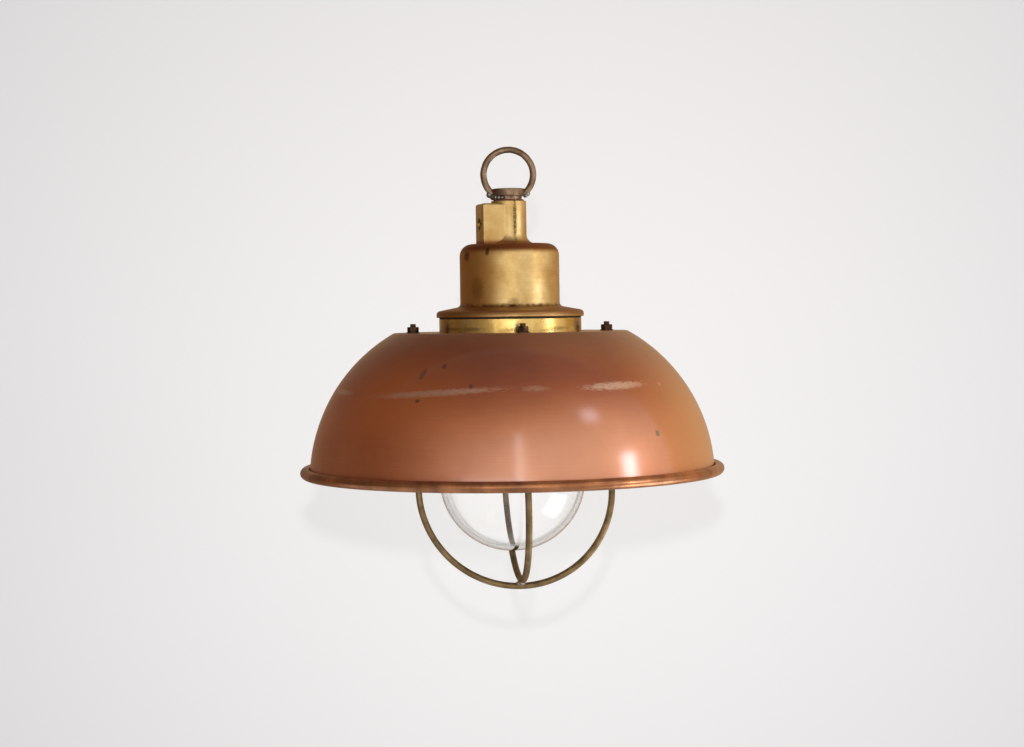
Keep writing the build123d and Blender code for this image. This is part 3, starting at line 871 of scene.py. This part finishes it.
@dataclass
class Studio:
    """Camera, pale wall and floor, and the light."""

    camera_place: tuple[float, float, float] = (0.001, -2.0, -0.1543)
    camera_drop: float = 1.88        # degrees below level
    camera_roll: float = -0.8        # degrees
    lens: float = 70.3               # mm
    film: float = 36.0               # width of the sensor, mm
    wall_distance: float = 0.45      # lamp axis to the wall
    wall_height: float = 4.0
    floor_depth: float = 1.25
    cove: float = 0.35               # radius between the floor and the wall
    cove_steps: int = 16
    half_width: float = 3.5
    reach: float = 3.6               # floor towards the camera
    wall_tint: str = "#aeb1b6"       # what the paint gives back of the lights
    wall_glow: tuple[str, str] = ("#fffffd", "#cdcdcf")      # beside the lamp, and far from it
    glow_fade: tuple[float, float] = (150.0, 850.0)          # mm from the glow's middle
    glow_level: float = -300.0       # height of the glow's middle, mm
    glow_strength: float = 0.54
    glass_strength: float = 0.7      # the same, for what is seen through glass
    pale_side: tuple[float, float, float] = (0.87, -0.5, 0)  # from the dim side to the pale one
    air: tuple[str, str] = ("#6b5a4e", "#fbeede")            # dim side and pale side
    air_seen: str = "#f1f0ee"        # what the camera sees past the backdrop
    air_facing: tuple[float, float] = (-0.95, 0.9)           # cosines: all dim, all pale
    air_rise: tuple[float, float] = (0.45, 0.8)              # sines: where it starts to dim, and ends
    air_top: float = 0.33            # share of the pale side's light that is left overhead
    windows: tuple[Window, ...] = (
        Window("gap behind the camera", (0.2, -2.5, 0.35), (0.12, 1.8), 2.8),
        Window("pale room behind the camera", (-0.35, -2.6, -0.3), (1.8, 0.5), 1.35),
        Window("right window", (1.65, -0.75, -0.05), (0.27, 0.44), 7.6, "#f0f3ff"),
        Window("upper pane", (1.45, -1.1, 1.2), (0.35, 0.3), 2.6, "#f2efff"),
        Window("low card", (1.0, -0.12, -1.05), (0.7, 0.7), 3.0, spreads=False),
        Window("lamp over the camera", (0.0, -2.05, 0.07), (0.06, 0.06), 1000.0, mirrored=False),
    )

    def camera(self) -> None:
        """Set up the camera."""
        data = bpy.data.cameras.new("camera")
        data.lens = self.lens
        data.sensor_width = self.film
        holder = bpy.data.objects.new("camera", data)
        tilt = Euler((math.radians(90 - self.camera_drop), 0, 0)).to_matrix().to_4x4()
        roll = Matrix.Rotation(math.radians(self.camera_roll), 4, "Z")
        holder.matrix_world = Matrix.Translation(self.camera_place) @ tilt @ roll
        bpy.context.scene.collection.objects.link(holder)
        bpy.context.scene.camera = holder

    def paint(self) -> bpy.types.Material:
        """Matt wall paint that is seen from inside only, so that no view is blocked.

        Returns:
            The material.
        """
        # Matt emulsion that glows: a painted pool of light, near white round the lamp and a little
        # greyer in the corners, with soft shadows on it.
        surface = Surface("matt wall paint")
        flat = surface.add(
            "VectorMath", {0: surface.point, 1: (1, 0, 1), 2: (0, 0, -self.glow_level)},
            operation="MULTIPLY_ADD",
        )
        away = surface.add("VectorMath", {0: flat}, operation="LENGTH").node.outputs["Value"]
        start, end = self.glow_fade
        fade = surface.add("MapRange", {0: away, "From Min": start, "From Max": end})
        near, far = self.wall_glow
        glow = surface.add("ValToRGB", {0: fade}, stops=((0.0, near), (1.0, far)))
        # Painted light: seen through glass, the wall glows brighter.
        ray = surface.add("LightPath").node.outputs["Is Transmission Ray"]
        strength = surface.add(
            "MapRange", {0: ray, "To Min": self.glow_strength, "To Max": self.glass_strength},
        )
        surface.set(Base_Color=linear(self.wall_tint), Roughness=0.9, Emission_Color=glow,
                    Emission_Strength=strength)
        back = surface.add("NewGeometry").node.outputs["Backfacing"]
        clear = surface.add("BsdfTransparent")
        both = surface.add("MixShader", {0: back, 1: surface.shader.outputs["BSDF"], 2: clear})
        surface.tree.links.new(both, surface.tree.nodes["Material Output"].inputs["Surface"])
        return surface.material

    def backdrop(self) -> None:
        """Sweep floor, cove and wall in one sheet."""
        mesh = bmesh.new()
        floor_z = -self.floor_depth
        start = [mesh.verts.new((side * self.half_width, -self.reach, floor_z)) for side in (-1, 1)]
        edges = [mesh.edges.new(start)]
        bend_y = self.wall_distance - self.cove
        stretches = (("floor", (0, bend_y + self.reach, 0)), ("wall", (0, 0, self.wall_height)))
        for kind, vec in stretches:
            made = bmesh.ops.extrude_edge_only(mesh, edges=edges)["geom"]
            verts = [item for item in made if isinstance(item, bmesh.types.BMVert)]
            bmesh.ops.translate(mesh, verts=verts, vec=vec)
            edges = [item for item in made if isinstance(item, bmesh.types.BMEdge)]
            if kind == "floor":
                made = bmesh.ops.spin(
                    mesh, geom=edges, cent=(0, bend_y, floor_z + self.cove), axis=(1, 0, 0),
                    angle=math.radians(90), steps=self.cove_steps,
                )
                edges = [item for item in made["geom_last"] if isinstance(item, bmesh.types.BMEdge)]
        bmesh.ops.recalc_face_normals(mesh, faces=mesh.faces)
        floor_face = min(mesh.faces, key=lambda face: face.calc_center_median().z)
        if floor_face.normal.z < 0:
            bmesh.ops.reverse_faces(mesh, faces=mesh.faces)
        for face in mesh.faces:
            face.smooth = True
        data = bpy.data.meshes.new("backdrop")
        mesh.to_mesh(data)
        mesh.free()
        data.materials.append(self.paint())
        sheet = bpy.data.objects.new("backdrop", data)
        bpy.context.scene.collection.objects.link(sheet)

    def room(self) -> None:
        """Light the air: warm and dim overhead and to the left, pale to the right and in front."""
        world = bpy.data.worlds.new("room")
        bpy.context.scene.world = world
        world.use_nodes = True
        tree = world.node_tree
        way = add(tree, "TexCoord").node.outputs["Generated"]
        towards = Vector(self.pale_side).normalized()
        facing = add(tree, "VectorMath", {0: way, 1: towards}, operation="DOT_PRODUCT")
        facing = facing.node.outputs["Value"]
        start, full = self.air_facing
        pale = add(tree, "MapRange", {0: facing, "From Min": start, "From Max": full},
                   interpolation_type="SMOOTHSTEP")
        rise = add(tree, "SeparateXYZ", {0: way}).node.outputs["Z"]
        start, end = self.air_rise
        level = add(tree, "MapRange", {0: rise, "From Min": end, "From Max": start,
                                       "To Min": self.air_top, "To Max": 1.0})
        share = add(tree, "Math", {0: pale, 1: level}, operation="MULTIPLY")
        dim, bright = self.air
        colour = add(tree, "Mix", {0: share, MIX_FIRST: linear(dim), MIX_SECOND: linear(bright)},
                     data_type="RGBA")
        ray = add(tree, "LightPath").node.outputs
        seen = add(tree, "Math", {0: ray["Is Camera Ray"], 1: ray["Is Transmission Ray"]},
                   operation="ADD", use_clamp=True)
        colour = add(tree, "Mix", {0: seen, MIX_FIRST: colour, MIX_SECOND: linear(self.air_seen)},
                     data_type="RGBA")
        sky = tree.nodes["Background"]
        tree.links.new(colour, sky.inputs["Color"])
        sky.inputs["Strength"].default_value = 1.0

    def build(self) -> None:
        """Build the camera, the backdrop and the light."""
        self.camera()
        self.backdrop()
        self.room()
        for window in self.windows:
            window.build()
        Cloth().build()
        bpy.context.scene.view_settings.view_transform = "Standard"


# ---- the lantern --------------------------------------------------------------------------------


@dataclass
class HangingRing:
    """Ring, its threaded plug and washer, and the solder that fixes the ring to the plug."""

    gap_half_angle: float = 37.0     # degrees to either side of the bottom
    steps: int = 120
    dent_size: float = 5.0 * MM
    dent_depth: float = 0.3 * MM
    # Lumps of solder: side of the plug, then in mm X from that edge, Y from the axis, Z from the
    # washer's top, and radius.
    solder_lumps: tuple[tuple[int, float, float, float, float], ...] = (
        (-1, -2.6, -0.5, 5.2, 3.4),
        (-1, 0.4, -2.5, 2.6, 3.0),
        (-1, 3.5, -10.5, 2.2, 2.3),
        (-1, 6.5, -13.2, 1.9, 2.0),
        (-1, 9.8, -14.6, 1.7, 1.7),
        (-1, 1.5, -7.0, 2.4, 2.7),
        (1, 2.6, -0.8, 6.0, 2.9),
        (1, 0.6, -1.5, 3.9, 2.2),
    )
    # Bronze bar browned by hands: dull, with faint flats and a soft long highlight.
    finish: Metal = Metal(
        "brown bronze bar, handled", "#9d8671", "#7a6451", "#4b3b30", cloud=9.0,
        lay=Lay.CAST, depth=0.05, rough=(0.32, 0.5), specks=0.7,
    )
    # Tin-lead solder run on by hand: small bright lumps that have gone grey.
    solder: Metal = Metal(
        "soft solder, dull grey", "#a7a6a2", "#6c6a66", "#3d3833", cloud=3.0,
        lay=Lay.CAST, depth=0.08, rough=(0.25, 0.5), specks=0.6,
    )

    def ring(self, finish: bpy.types.Material) -> None:
        """Bend the bar round, open at the bottom, with hammered flats.

        Args:
            finish: the bar's finish.
        """
        low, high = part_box("hanging_ring")
        bar = (high.y - low.y) / 2
        middle = high.x - bar
        centre = Vector((0, 0, high.z - high.x))
        gap = math.radians(self.gap_half_angle)
        start = centre + middle * Vector((math.sin(gap), 0, -math.cos(gap)))
        face = Matrix.Translation(start) @ Matrix.Rotation(math.pi / 2 - gap, 4, "Y")
        mesh = bmesh.new()
        rod = Bar(mesh, face, bar)
        rod.bend(centre, Vector((0, -1, 0)), math.tau - 2 * gap, self.steps).close()
        bmesh.ops.recalc_face_normals(mesh, faces=mesh.faces)
        for vert in mesh.verts:
            dent = noise.noise(vert.co / self.dent_size) * self.dent_depth
            vert.co -= vert.normal * max(dent, 0)
        piece("ring_bar", mesh, [finish], "head", "ring_bronze", "hanging_ring")

    def joints(self, finish: bpy.types.Material) -> None:
        """Run solder under the ring's two ends.

        Args:
            finish: the solder's finish.
        """
        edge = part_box("ring_plug")[1].x
        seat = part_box("plug_washer")[1].z
        blobs = [
            (Vector((side * edge + x * MM, y * MM, seat + z * MM)), radius * MM)
            for side, x, y, z, radius in self.solder_lumps
        ]
        piece("ring_solder", lumps(blobs), [finish], "head", "solder", "ring_braze")

    def build(self) -> None:
        """Build and dress the sub-assembly."""
        bronze = self.finish.make()
        self.ring(bronze)
        self.joints(self.solder.make())
        dress(bronze, "ring_plug")


@dataclass
class Cap:
    """Cap casting with its cable gland, plug washer and seal."""

    # Cast brass turned smooth: broad satin highlights, yellow in front and redder to the left in
    # painted shade.
    brass: CastBrass = CastBrass(
        "cast brass, turned and lacquered", "#e2c88e", "#caa668", "#6e4a26", cloud=26.0,
        lay=Lay.TURNED, depth=0.006, rough=(0.38, 0.46), specks=0.5,
        marks=(
            Mark(20.0, -66.0, 2.2, 24.0, "#40381f", 0.85, 0.0, 0.8),
            Mark(-56.0, -64.0, 1.6, 22.0, "#4d3d1f", 0.8, 0.0, 0.9),
            Mark(-26.0, -99.0, 2.2, 4.0, "#4a2f1c", 0.8),
            Mark(-58.0, -103.0, 5.0, 5.0, "#4c3320", 0.7, 0.0, 0.6),
            Mark(-40.0, -135.0, 8.0, 12.0, "#6d451f", 0.4, 0.0, 0.5),
            Mark(4.0, -148.5, 6.0, 5.0, "#5d452a", 0.6, 0.0, 0.9),
            Mark(-115.0, -120.0, 9.0, 14.0, "#6b4522", 0.5, 0.3, 0.8),
            Mark(138.0, -112.0, 7.0, 10.0, "#5f3f22", 0.5, -0.2, 0.7),
        ),
    )

    def build(self) -> None:
        """Dress the sub-assembly."""
        dress(self.brass.make(), "head_cap", "gland_screw")
        # Old nitrile: matt, nearly black, with a grey bloom.
        rubber = Coating("aged black rubber", "#1d1b1a", "#3a3631", 0.6, 1.52, 6.0, 0.6, 0.03).make()
        dress(rubber, "gland_grommet", "cap_seal", "flange_gasket", "globe_gasket")
        # Vulcanised fibre: matt brick red, darkened by oil.
        fibre = Coating("red vulcanised fibre", "#6b3c2a", "#4a2c20", 0.7, 1.5, 5.0, 0.5, 0.03).make()
        dress(fibre, "plug_washer")


@dataclass
class Gallery:
    """Screwed gallery ring that carries the shade and the glass."""

    # Brass rubbed with upright strokes: a bright yellow band, grime along its foot, ends in painted
    # shade.
    brass: Metal = Metal(
        "turned brass, polished upright", "#ecd08c", "#d8b464", "#5d4721", cloud=18.0,
        lay=Lay.UPRIGHT, depth=0.015, rough=(0.2, 0.3), specks=0.6,
        marks=(
            # Painted shade: the two broad marks darken the band's ends, which turn away from the
            # light.
            Mark(72.0, -171.0, 16.0, 9.0, "#7d5f38", 0.7, 0.0, 0.3),
            Mark(-66.0, -171.0, 14.0, 9.0, "#8a6a40", 0.5, 0.0, 0.3),
        ) + tuple(
            Mark(turn, -176.5 + turn % 3, 9.0 + turn % 7, 1.8, "#5a451f", 0.6, 0.0, 0.85)
            for turn in (-78, -52, -31, 4, 33, 41, 74, 118, 150, -124, -163)
        ),
    )

    def build(self) -> None:
        """Dress the sub-assembly."""
        dress(self.brass.make(), "gallery", "gland_washer", "holder_bridge", "bridge_screws",
              "holder_screws", "terminal_screws", "earth_screw", "screw_shell", "centre_contact")


@dataclass
class Shade:
    """Spun copper dome with a rolled bead, white enamel inside."""

    sheet: float = 1.0 * MM
    dome: float = 168.5 * MM         # radius of the dome's section
    bead: float = 5.3 * MM           # radius of the bead
    bead_open: float = 50.0          # degrees of the curl left open
    neck_gap: float = 0.3 * MM       # middle hole past the cap's seal
    leg_hole: float = 3.3 * MM       # radius of the holes for the guard's legs
    leg_radius: float = 97.5 * MM
    leg_turn: float = 7.0            # degrees
    flat_margin: float = 19.1 * MM   # flat top past the legs
    flat_loops: tuple[float, float] = (12 * MM, 3 * MM)      # in from the corner; they keep it flat
    corner: float = 0.8 * MM
    steps: int = 288
    dome_steps: int = 56
    bead_steps: int = 40
    drill_depth: float = 10 * MM
    soft_dents: tuple[float, float] = (55 * MM, 0.35 * MM)   # size and depth
    fine_dents: tuple[float, float] = (19 * MM, 0.08 * MM)
    # Spun copper under a glossy old lacquer: soft copper glow with clear window reflections on it,
    # pale clouds of painted reflection, a band of scuffs at half height and a few dark spots.
    copper: SpunCopper = SpunCopper(
        "spun copper under old lacquer", "#df8a53", "#cf7b46", "#5a2f1e", cloud=60.0,
        lay=Lay.TURNED, depth=0.003, rough=(0.44, 0.52), specks=0.35, coat=1.0, coat_rough=0.17,
        coat_ior=1.95,
        marks=(
            # Painted reflection: the pale clouds light the front, right side, foot and back as a
            # bright room would; the orange cloud tints the upper left.
            Mark(22.0, -282.0, 105.0, 44.0, "#cb9878", 0.5, cloud=True),
            Mark(-38.0, -238.0, 62.0, 36.0, "#f08a34", 0.6, cloud=True),
            Mark(72.0, -280.0, 75.0, 80.0, "#f2b878", 0.8, cloud=True),
            Mark(-2.0, -310.0, 75.0, 34.0, "#e0a68c", 0.4, cloud=True),
            Mark(-150.0, -285.0, 120.0, 50.0, "#e2ab8a", 0.4, cloud=True),
            Mark(-69.0, -233.5, 28.0, 2.8, "#dcb6a2", 0.8, -0.03, 0.7),
            Mark(-24.0, -232.0, 66.0, 3.2, "#e0b49c", 0.9, 0.06, 0.75),
            Mark(7.5, -228.5, 14.0, 3.0, "#dcae96", 0.7, 0.0, 0.9),
            Mark(35.0, -228.0, 36.0, 3.6, "#f3cdb8", 0.9, 0.02, 0.7),
            Mark(84.0, -230.0, 30.0, 2.2, "#d3a189", 0.7, 0.0, 0.9),
            Mark(128.0, -231.0, 46.0, 2.4, "#cc9479", 0.7, -0.03, 0.85),
            Mark(-130.0, -229.0, 40.0, 2.2, "#cf9a82", 0.7, 0.03, 0.9),
            Mark(-30.5, -215.0, 3.0, 5.0, "#55383a", 0.6, 0.6, 0.6),
            Mark(-23.5, -207.5, 2.2, 2.4, "#54231a", 0.7),
            Mark(-12.5, -226.0, 2.2, 2.2, "#56281c", 0.6),
            Mark(-29.0, -239.0, 2.4, 1.6, "#4f3027", 0.8),
            Mark(44.5, -273.0, 2.8, 3.0, "#4f5a3c", 0.7),
            Mark(55.0, -228.5, 2.2, 1.8, "#e3b497", 0.9),
            Mark(-9.5, -318.0, 3.2, 1.4, "#5b2c20", 0.8, 0.4),
            Mark(110.0, -260.0, 3.0, 3.0, "#4d3226", 0.7),
            Mark(-95.0, -285.0, 2.6, 3.4, "#4a2c20", 0.7),
            Mark(165.0, -215.0, 3.5, 5.0, "#5c5a50", 0.6, -0.5, 0.4),
        ),
    )
    # Stove enamel: glossy warm white with faint yellow stains.
    enamel: Coating = Coating(
        "white stove enamel, yellowed", "#f0ecdf", "#d2c6ab", 0.24, 1.5, 48.0, 2.4, 0.02,
    )

    def bead_finish(self) -> Metal:
        """The bead's copper, without the dome's browning and painted shade by height."""
        # Copper rubbed bare by hands: redder and darker than the dome, with a sharper highlight.
        return Metal(
            "copper bead, rubbed", "#cc8c60", "#8f5d3c", "#4a3026", cloud=30.0,
            lay=Lay.TURNED, depth=0.01, rough=(0.26, 0.38), specks=0.5, coat=0.4, coat_rough=0.12,
        )

    def build(self) -> None:
        """Spin the sheet, thicken it, drill it for the guard's legs and dress it."""
        low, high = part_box("shade")
        top = high.z - self.sheet / 2
        bead_z = low.z + self.bead
        bead_r = high.x - self.bead
        curl = self.bead - self.sheet / 2
        wall_r = bead_r - curl
        hole_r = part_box("cap_seal")[1].x + self.neck_gap
        corner_r = self.leg_radius + self.flat_margin
        # The dome's centre is square to the middle of its chord.
        chord = Vector((wall_r - corner_r, bead_z - top))
        middle = Vector((corner_r, top)) + chord / 2
        inward = Vector((chord.y, -chord.x)).normalized()
        reach = self.dome - self.sheet / 2
        centre = middle + inward * math.sqrt(reach**2 - (chord.length / 2) ** 2)
        sweep = 2 * math.asin(chord.length / 2 / reach)
        section = Section(hole_r, top)
        for inset in self.flat_loops:
            section.line(corner_r - inset, top)
        section.line(corner_r, top, self.corner)
        section.arc((centre.x, centre.y), -sweep, self.dome_steps)
        curl_turn = math.tau - math.radians(self.bead_open)
        section.arc((bead_r, bead_z), curl_turn, self.bead_steps)
        mesh = section.turn(self.steps)
        flat = max(mesh.faces, key=lambda face: face.calc_center_median().z)
        if flat.normal.z < 0:
            bmesh.ops.reverse_faces(mesh, faces=mesh.faces)
        enamel_index, bead_index = 1, 2
        for face in mesh.faces:
            at = face.calc_center_median()
            if math.hypot(math.hypot(at.x, at.y) - bead_r, at.z - bead_z) < self.bead:
                face.material_index = bead_index
        self.dent(mesh, centre.y)
        finishes = [self.copper.make(), self.enamel.make(), self.bead_finish().make()]
        shade = piece("copper_shade", mesh, finishes, "gallery", "copper", "shade")
        thick = shade.modifiers.new("sheet", "SOLIDIFY")
        thick.thickness = self.sheet
        thick.offset = 0
        thick.use_even_offset = True
        thick.material_offset = enamel_index
        drill = self.drill(top)
        cut = shade.modifiers.new("leg holes", "BOOLEAN")
        cut.object = drill
        cut.operation = "DIFFERENCE"
        settle(shade)
        bpy.data.objects.remove(drill)

    def dent(self, mesh: bmesh.types.BMesh, level: float) -> None:
        """Press shallow hand dents into the dome.

        Args:
            mesh: the dome.
            level: height in the dome's frame from which the noise is read.
        """
        soft_size, soft_depth = self.soft_dents
        fine_size, fine_depth = self.fine_dents
        for vert in mesh.verts:
            soft = noise.noise(vert.co / soft_size + Vector((0, 0, level)))
            fine = noise.noise(vert.co / fine_size)
            outward = Vector((vert.co.x, vert.co.y, 0)).normalized()
            vert.co -= outward * (soft_depth * (soft + 1) / 2 + fine_depth * (fine + 1) / 2)

    def drill(self, top: float) -> bpy.types.Object:
        """Cutters for the four leg holes.

        Args:
            top: height of the flat top.

        Returns:
            The cutters as one object, to be removed after use.
        """
        mesh = bmesh.new()
        for quarter in range(4):
            turn = Matrix.Rotation(math.radians(self.leg_turn + 90 * quarter), 4, "Z")
            place = turn @ Matrix.Translation((self.leg_radius, 0, top))
            bmesh.ops.create_cone(
                mesh, cap_ends=True, segments=ROUND_SIDES, radius1=self.leg_hole,
                radius2=self.leg_hole, depth=self.drill_depth, matrix=place,
            )
        data = bpy.data.meshes.new("drill")
        mesh.to_mesh(data)
        mesh.free()
        drill = bpy.data.objects.new("drill", data)
        bpy.context.scene.collection.objects.link(drill)
        return drill


@dataclass
class Guard:
    """Two brazed brass hoops with threaded legs, and the nuts that hold them."""

    bar: float = 3.25 * MM           # radius of the bar
    leg_radius: float = 97.5 * MM
    leg_turn: float = 7.0            # degrees
    bend_steps: int = 96
    thread: float = 3.0 * MM         # radius of the threaded ends
    pitch: float = 1.0 * MM
    root: float = 0.12               # share of the radius that a thread's root loses
    tip: float = 0.85                # radius of the end's tip, as a share of the thread's
    tip_length: float = 0.5 * MM
    neck_length: float = 0.3 * MM    # step from the thread to the bar
    thread_below: float = 3 * MM     # thread past the lock nuts
    lean_end: float = 3.35 * MM      # how far the guard is knocked to +X, lean_depth below its seat
    lean_depth: float = 151 * MM
    lean_power: float = 1.6          # 1 for a straight lean, more for a bent one
    braze_middle: float = 3.9 * MM   # radius of the lump where the hoops cross
    braze_side: float = 3.1 * MM     # radius of the lumps along each hoop
    braze_rise: float = 1.2 * MM     # their height from the middle, down or up
    braze_steps: tuple[float, float] = (1.1 * MM, 1.2 * MM)  # between them, on each hoop
    # Drawn brass gone olive: dull, with a thin highlight along each bar.
    brass: Metal = Metal(
        "drawn brass bar, dull olive", "#9b8460", "#766345", "#4b3a24", cloud=14.0,
        lay=Lay.CAST, depth=0.03, rough=(0.38, 0.5), specks=0.6,
    )
    # Silver braze: a pale bright lump where the bars cross.
    braze: Metal = Metal(
        "silver braze", "#cfc9bd", "#8b8272", "#4a4238", cloud=3.0, lay=Lay.CAST, depth=0.06,
        rough=(0.25, 0.45), specks=0.5,
    )
    # Bronze nuts blackened by oil: dark brown with small glints on their edges.
    bronze: Metal = Metal(
        "brown bronze, oily", "#5f4536", "#40302a", "#211915", cloud=4.0, lay=Lay.CAST,
        depth=0.05, rough=(0.35, 0.55), specks=0.7,
    )

    def lean(self, mesh: bmesh.types.BMesh) -> None:
        """Push the hoops sideways, more the lower they hang.

        Args:
            mesh: mesh to push.
        """
        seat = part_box("guard_lock_nuts")[0].z
        for vert in mesh.verts:
            depth = max(seat - vert.co.z, 0) / self.lean_depth
            vert.co.x += self.lean_end * depth**self.lean_power

    def hoop(self, name: str, node: str, turn: float, finish: bpy.types.Material) -> None:
        """Bend one hoop: thread, leg, half circle, leg, thread.

        Args:
            name: name of the piece.
            node: CAD node that it stands for.
            turn: degrees from +X.
            finish: the bar's finish.
        """
        low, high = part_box(node)
        bend_z = low.z + self.bar + self.leg_radius
        thread_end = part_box("guard_lock_nuts")[0].z - self.thread_below
        tip = Vector((0, 0, self.tip_length))
        neck = Vector((0, 0, self.neck_length))
        threaded = Vector((0, 0, high.z - self.tip_length - thread_end))
        leg = Vector((0, 0, thread_end - self.neck_length - bend_z))
        mesh = bmesh.new()
        rod = Bar(mesh, Matrix.Translation((self.leg_radius, 0, high.z)), self.thread * self.tip)
        rod.push(-tip, 1 / self.tip)
        rod.thread(-threaded, self.pitch, self.root)
        rod.push(-neck, self.bar / self.thread)
        rod.push(-leg)
        rod.bend(Vector((0, 0, bend_z)), Vector((0, 1, 0)), math.pi, self.bend_steps)
        rod.push(leg)
        rod.push(neck, self.thread / self.bar)
        rod.thread(threaded, self.pitch, self.root)
        rod.push(tip, self.tip)
        rod.close()
        bmesh.ops.rotate(
            mesh, verts=mesh.verts, cent=(0, 0, 0),
            matrix=Matrix.Rotation(math.radians(turn), 3, "Z"),
        )
        self.lean(mesh)
        bmesh.ops.recalc_face_normals(mesh, faces=mesh.faces)
        piece(name, mesh, [finish], "guard", "guard_brass", node)

    def crossing(self, finish: bpy.types.Material) -> None:
        """Braze the hoops where they cross.

        Args:
            finish: the braze's finish.
        """
        low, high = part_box("guard_braze")
        centre = (low + high) / 2
        side = math.radians(self.leg_turn)
        lower_step, upper_step = self.braze_steps
        lower = Vector((math.cos(side), math.sin(side), 0)) * lower_step
        upper = Vector((-math.sin(side), math.cos(side), 0)) * upper_step
        rise = Vector((0, 0, self.braze_rise))
        blobs = [(centre, self.braze_middle)]
        for step in range(-2, 3):
            blobs.append((centre + lower * step - rise, self.braze_side))
            blobs.append((centre + upper * step + rise, self.braze_side))
        mesh = lumps(blobs)
        self.lean(mesh)
        piece("crossing_braze", mesh, [finish], "guard", "braze", "guard_braze")

    def build(self) -> None:
        """Build and dress the sub-assembly."""
        brass = self.brass.make()
        self.hoop("hoop_lower", "guard_hoop_lower", self.leg_turn, brass)
        self.hoop("hoop_upper", "guard_hoop_upper", self.leg_turn + 90, brass)
        self.crossing(self.braze.make())
        dress(self.bronze.make(), "guard_nuts", "guard_washers", "guard_lock_nuts")


@dataclass
class WellGlass:
    """Thick pressed glass bell that screws into the gallery."""

    wall: float = 3.5 * MM
    neck_wall: float = 4.0 * MM
    neck: float = 65.95 * MM         # radius of the neck
    shoulder_drop: float = 16.5 * MM     # rim to the top of the shoulder
    shoulder: float = 6.5 * MM       # height of the shoulder
    bend: float = 2.0 * MM           # cut of the shoulder's rounding
    lip: float = 1.2 * MM            # cut of the rim's rounding
    steps: int = 192
    end_steps: int = 56              # from the pole to the wall
    # Pressed glass: almost unseen in the middle, with a painted dark outline and a sharp window on
    # it.
    glass: ClearGlass = ClearGlass("pressed clear glass", "#ffffff", 26.0, 0.01, outline=0.75)

    def build(self) -> None:
        """Spin the glass as one closed wall from pole to pole."""
        low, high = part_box("globe")
        body = high.x
        centre = low.z + body
        rim = high.z
        shoulder = rim - self.shoulder_drop
        foot = shoulder - self.shoulder
        inner = body - self.wall
        inner_neck = self.neck - self.neck_wall
        section = Section(0, low.z)
        section.arc((0, centre), math.pi / 2, self.end_steps)
        section.line(body, foot, self.bend)
        section.line(self.neck, shoulder, self.bend)
        section.line(self.neck, rim, self.lip)
        section.line(inner_neck, rim, self.lip)
        section.line(inner_neck, shoulder, self.bend)
        section.line(inner, foot, self.bend)
        section.line(inner, centre)
        section.arc((0, centre), -math.pi / 2, self.end_steps)
        mesh = section.turn(self.steps)
        piece("well_glass", mesh, [self.glass.make()], "globe", "clear_glass", "globe")


@dataclass
class Lampholder:
    """Porcelain lampholder on its bridge, and the lamp in it."""

    # Glazed porcelain: glossy cream.
    porcelain: Coating = Coating(
        "glazed porcelain", "#e9e5da", "#c9c0ac", 0.18, 1.55, 16.0, 1.5, 0.01,
    )
    # Blown glass: thin, with only its reflections showing.
    bulb: ClearGlass = ClearGlass("thin blown glass", "#fbfdfc", 14.0, 0.01)
    # Nickel plate: grey-white, a little cloudy.
    cap_metal: Metal = Metal(
        "nickelled brass", "#c9c6bd", "#a29d90", "#5c574c", cloud=7.0, lay=Lay.TURNED, depth=0.01,
        rough=(0.22, 0.34),
    )
    # Lead-tin solder: a dull grey drop.
    lead: Metal = Metal(
        "lead solder", "#96948f", "#716e69", "#3f3c38", cloud=2.0, lay=Lay.CAST, depth=0.04,
        rough=(0.35, 0.5),
    )
    # Tungsten: thin dark grey wire.
    wire: Metal = Metal(
        "tungsten wire", "#6e6a66", "#55514d", "#2c2927", cloud=2.0, lay=Lay.CAST, depth=0.005,
        rough=(0.35, 0.5),
    )
    # Opaque black glass, pressed round the contact: glossy and nearly black.
    black: Coating = Coating(
        "pressed black glass", "#15161a", "#22242a", 0.2, 1.52, 4.0, 0.8, 0.01,
    )

    def build(self) -> None:
        """Dress the sub-assembly."""
        dress(self.porcelain.make(), "holder_body")
        dress(self.bulb.make(), "lamp_glass", "lamp_stem")
        dress(self.cap_metal.make(), "lamp_cap")
        dress(self.lead.make(), "lamp_tip")
        dress(self.wire.make(), "lamp_filament")
        dress(self.black.make(), "lamp_insulator")


def main() -> None:
    """Build the studio and the lantern."""
    logging.basicConfig(level=logging.INFO, format="%(name)s: %(message)s")
    Studio().build()
    for part in (HangingRing(), Cap(), Gallery(), Shade(), Guard(), WellGlass(), Lampholder()):
        part.build()
        log.info("%s is finished", type(part).__name__)


if __name__ == "__main__":
    main()
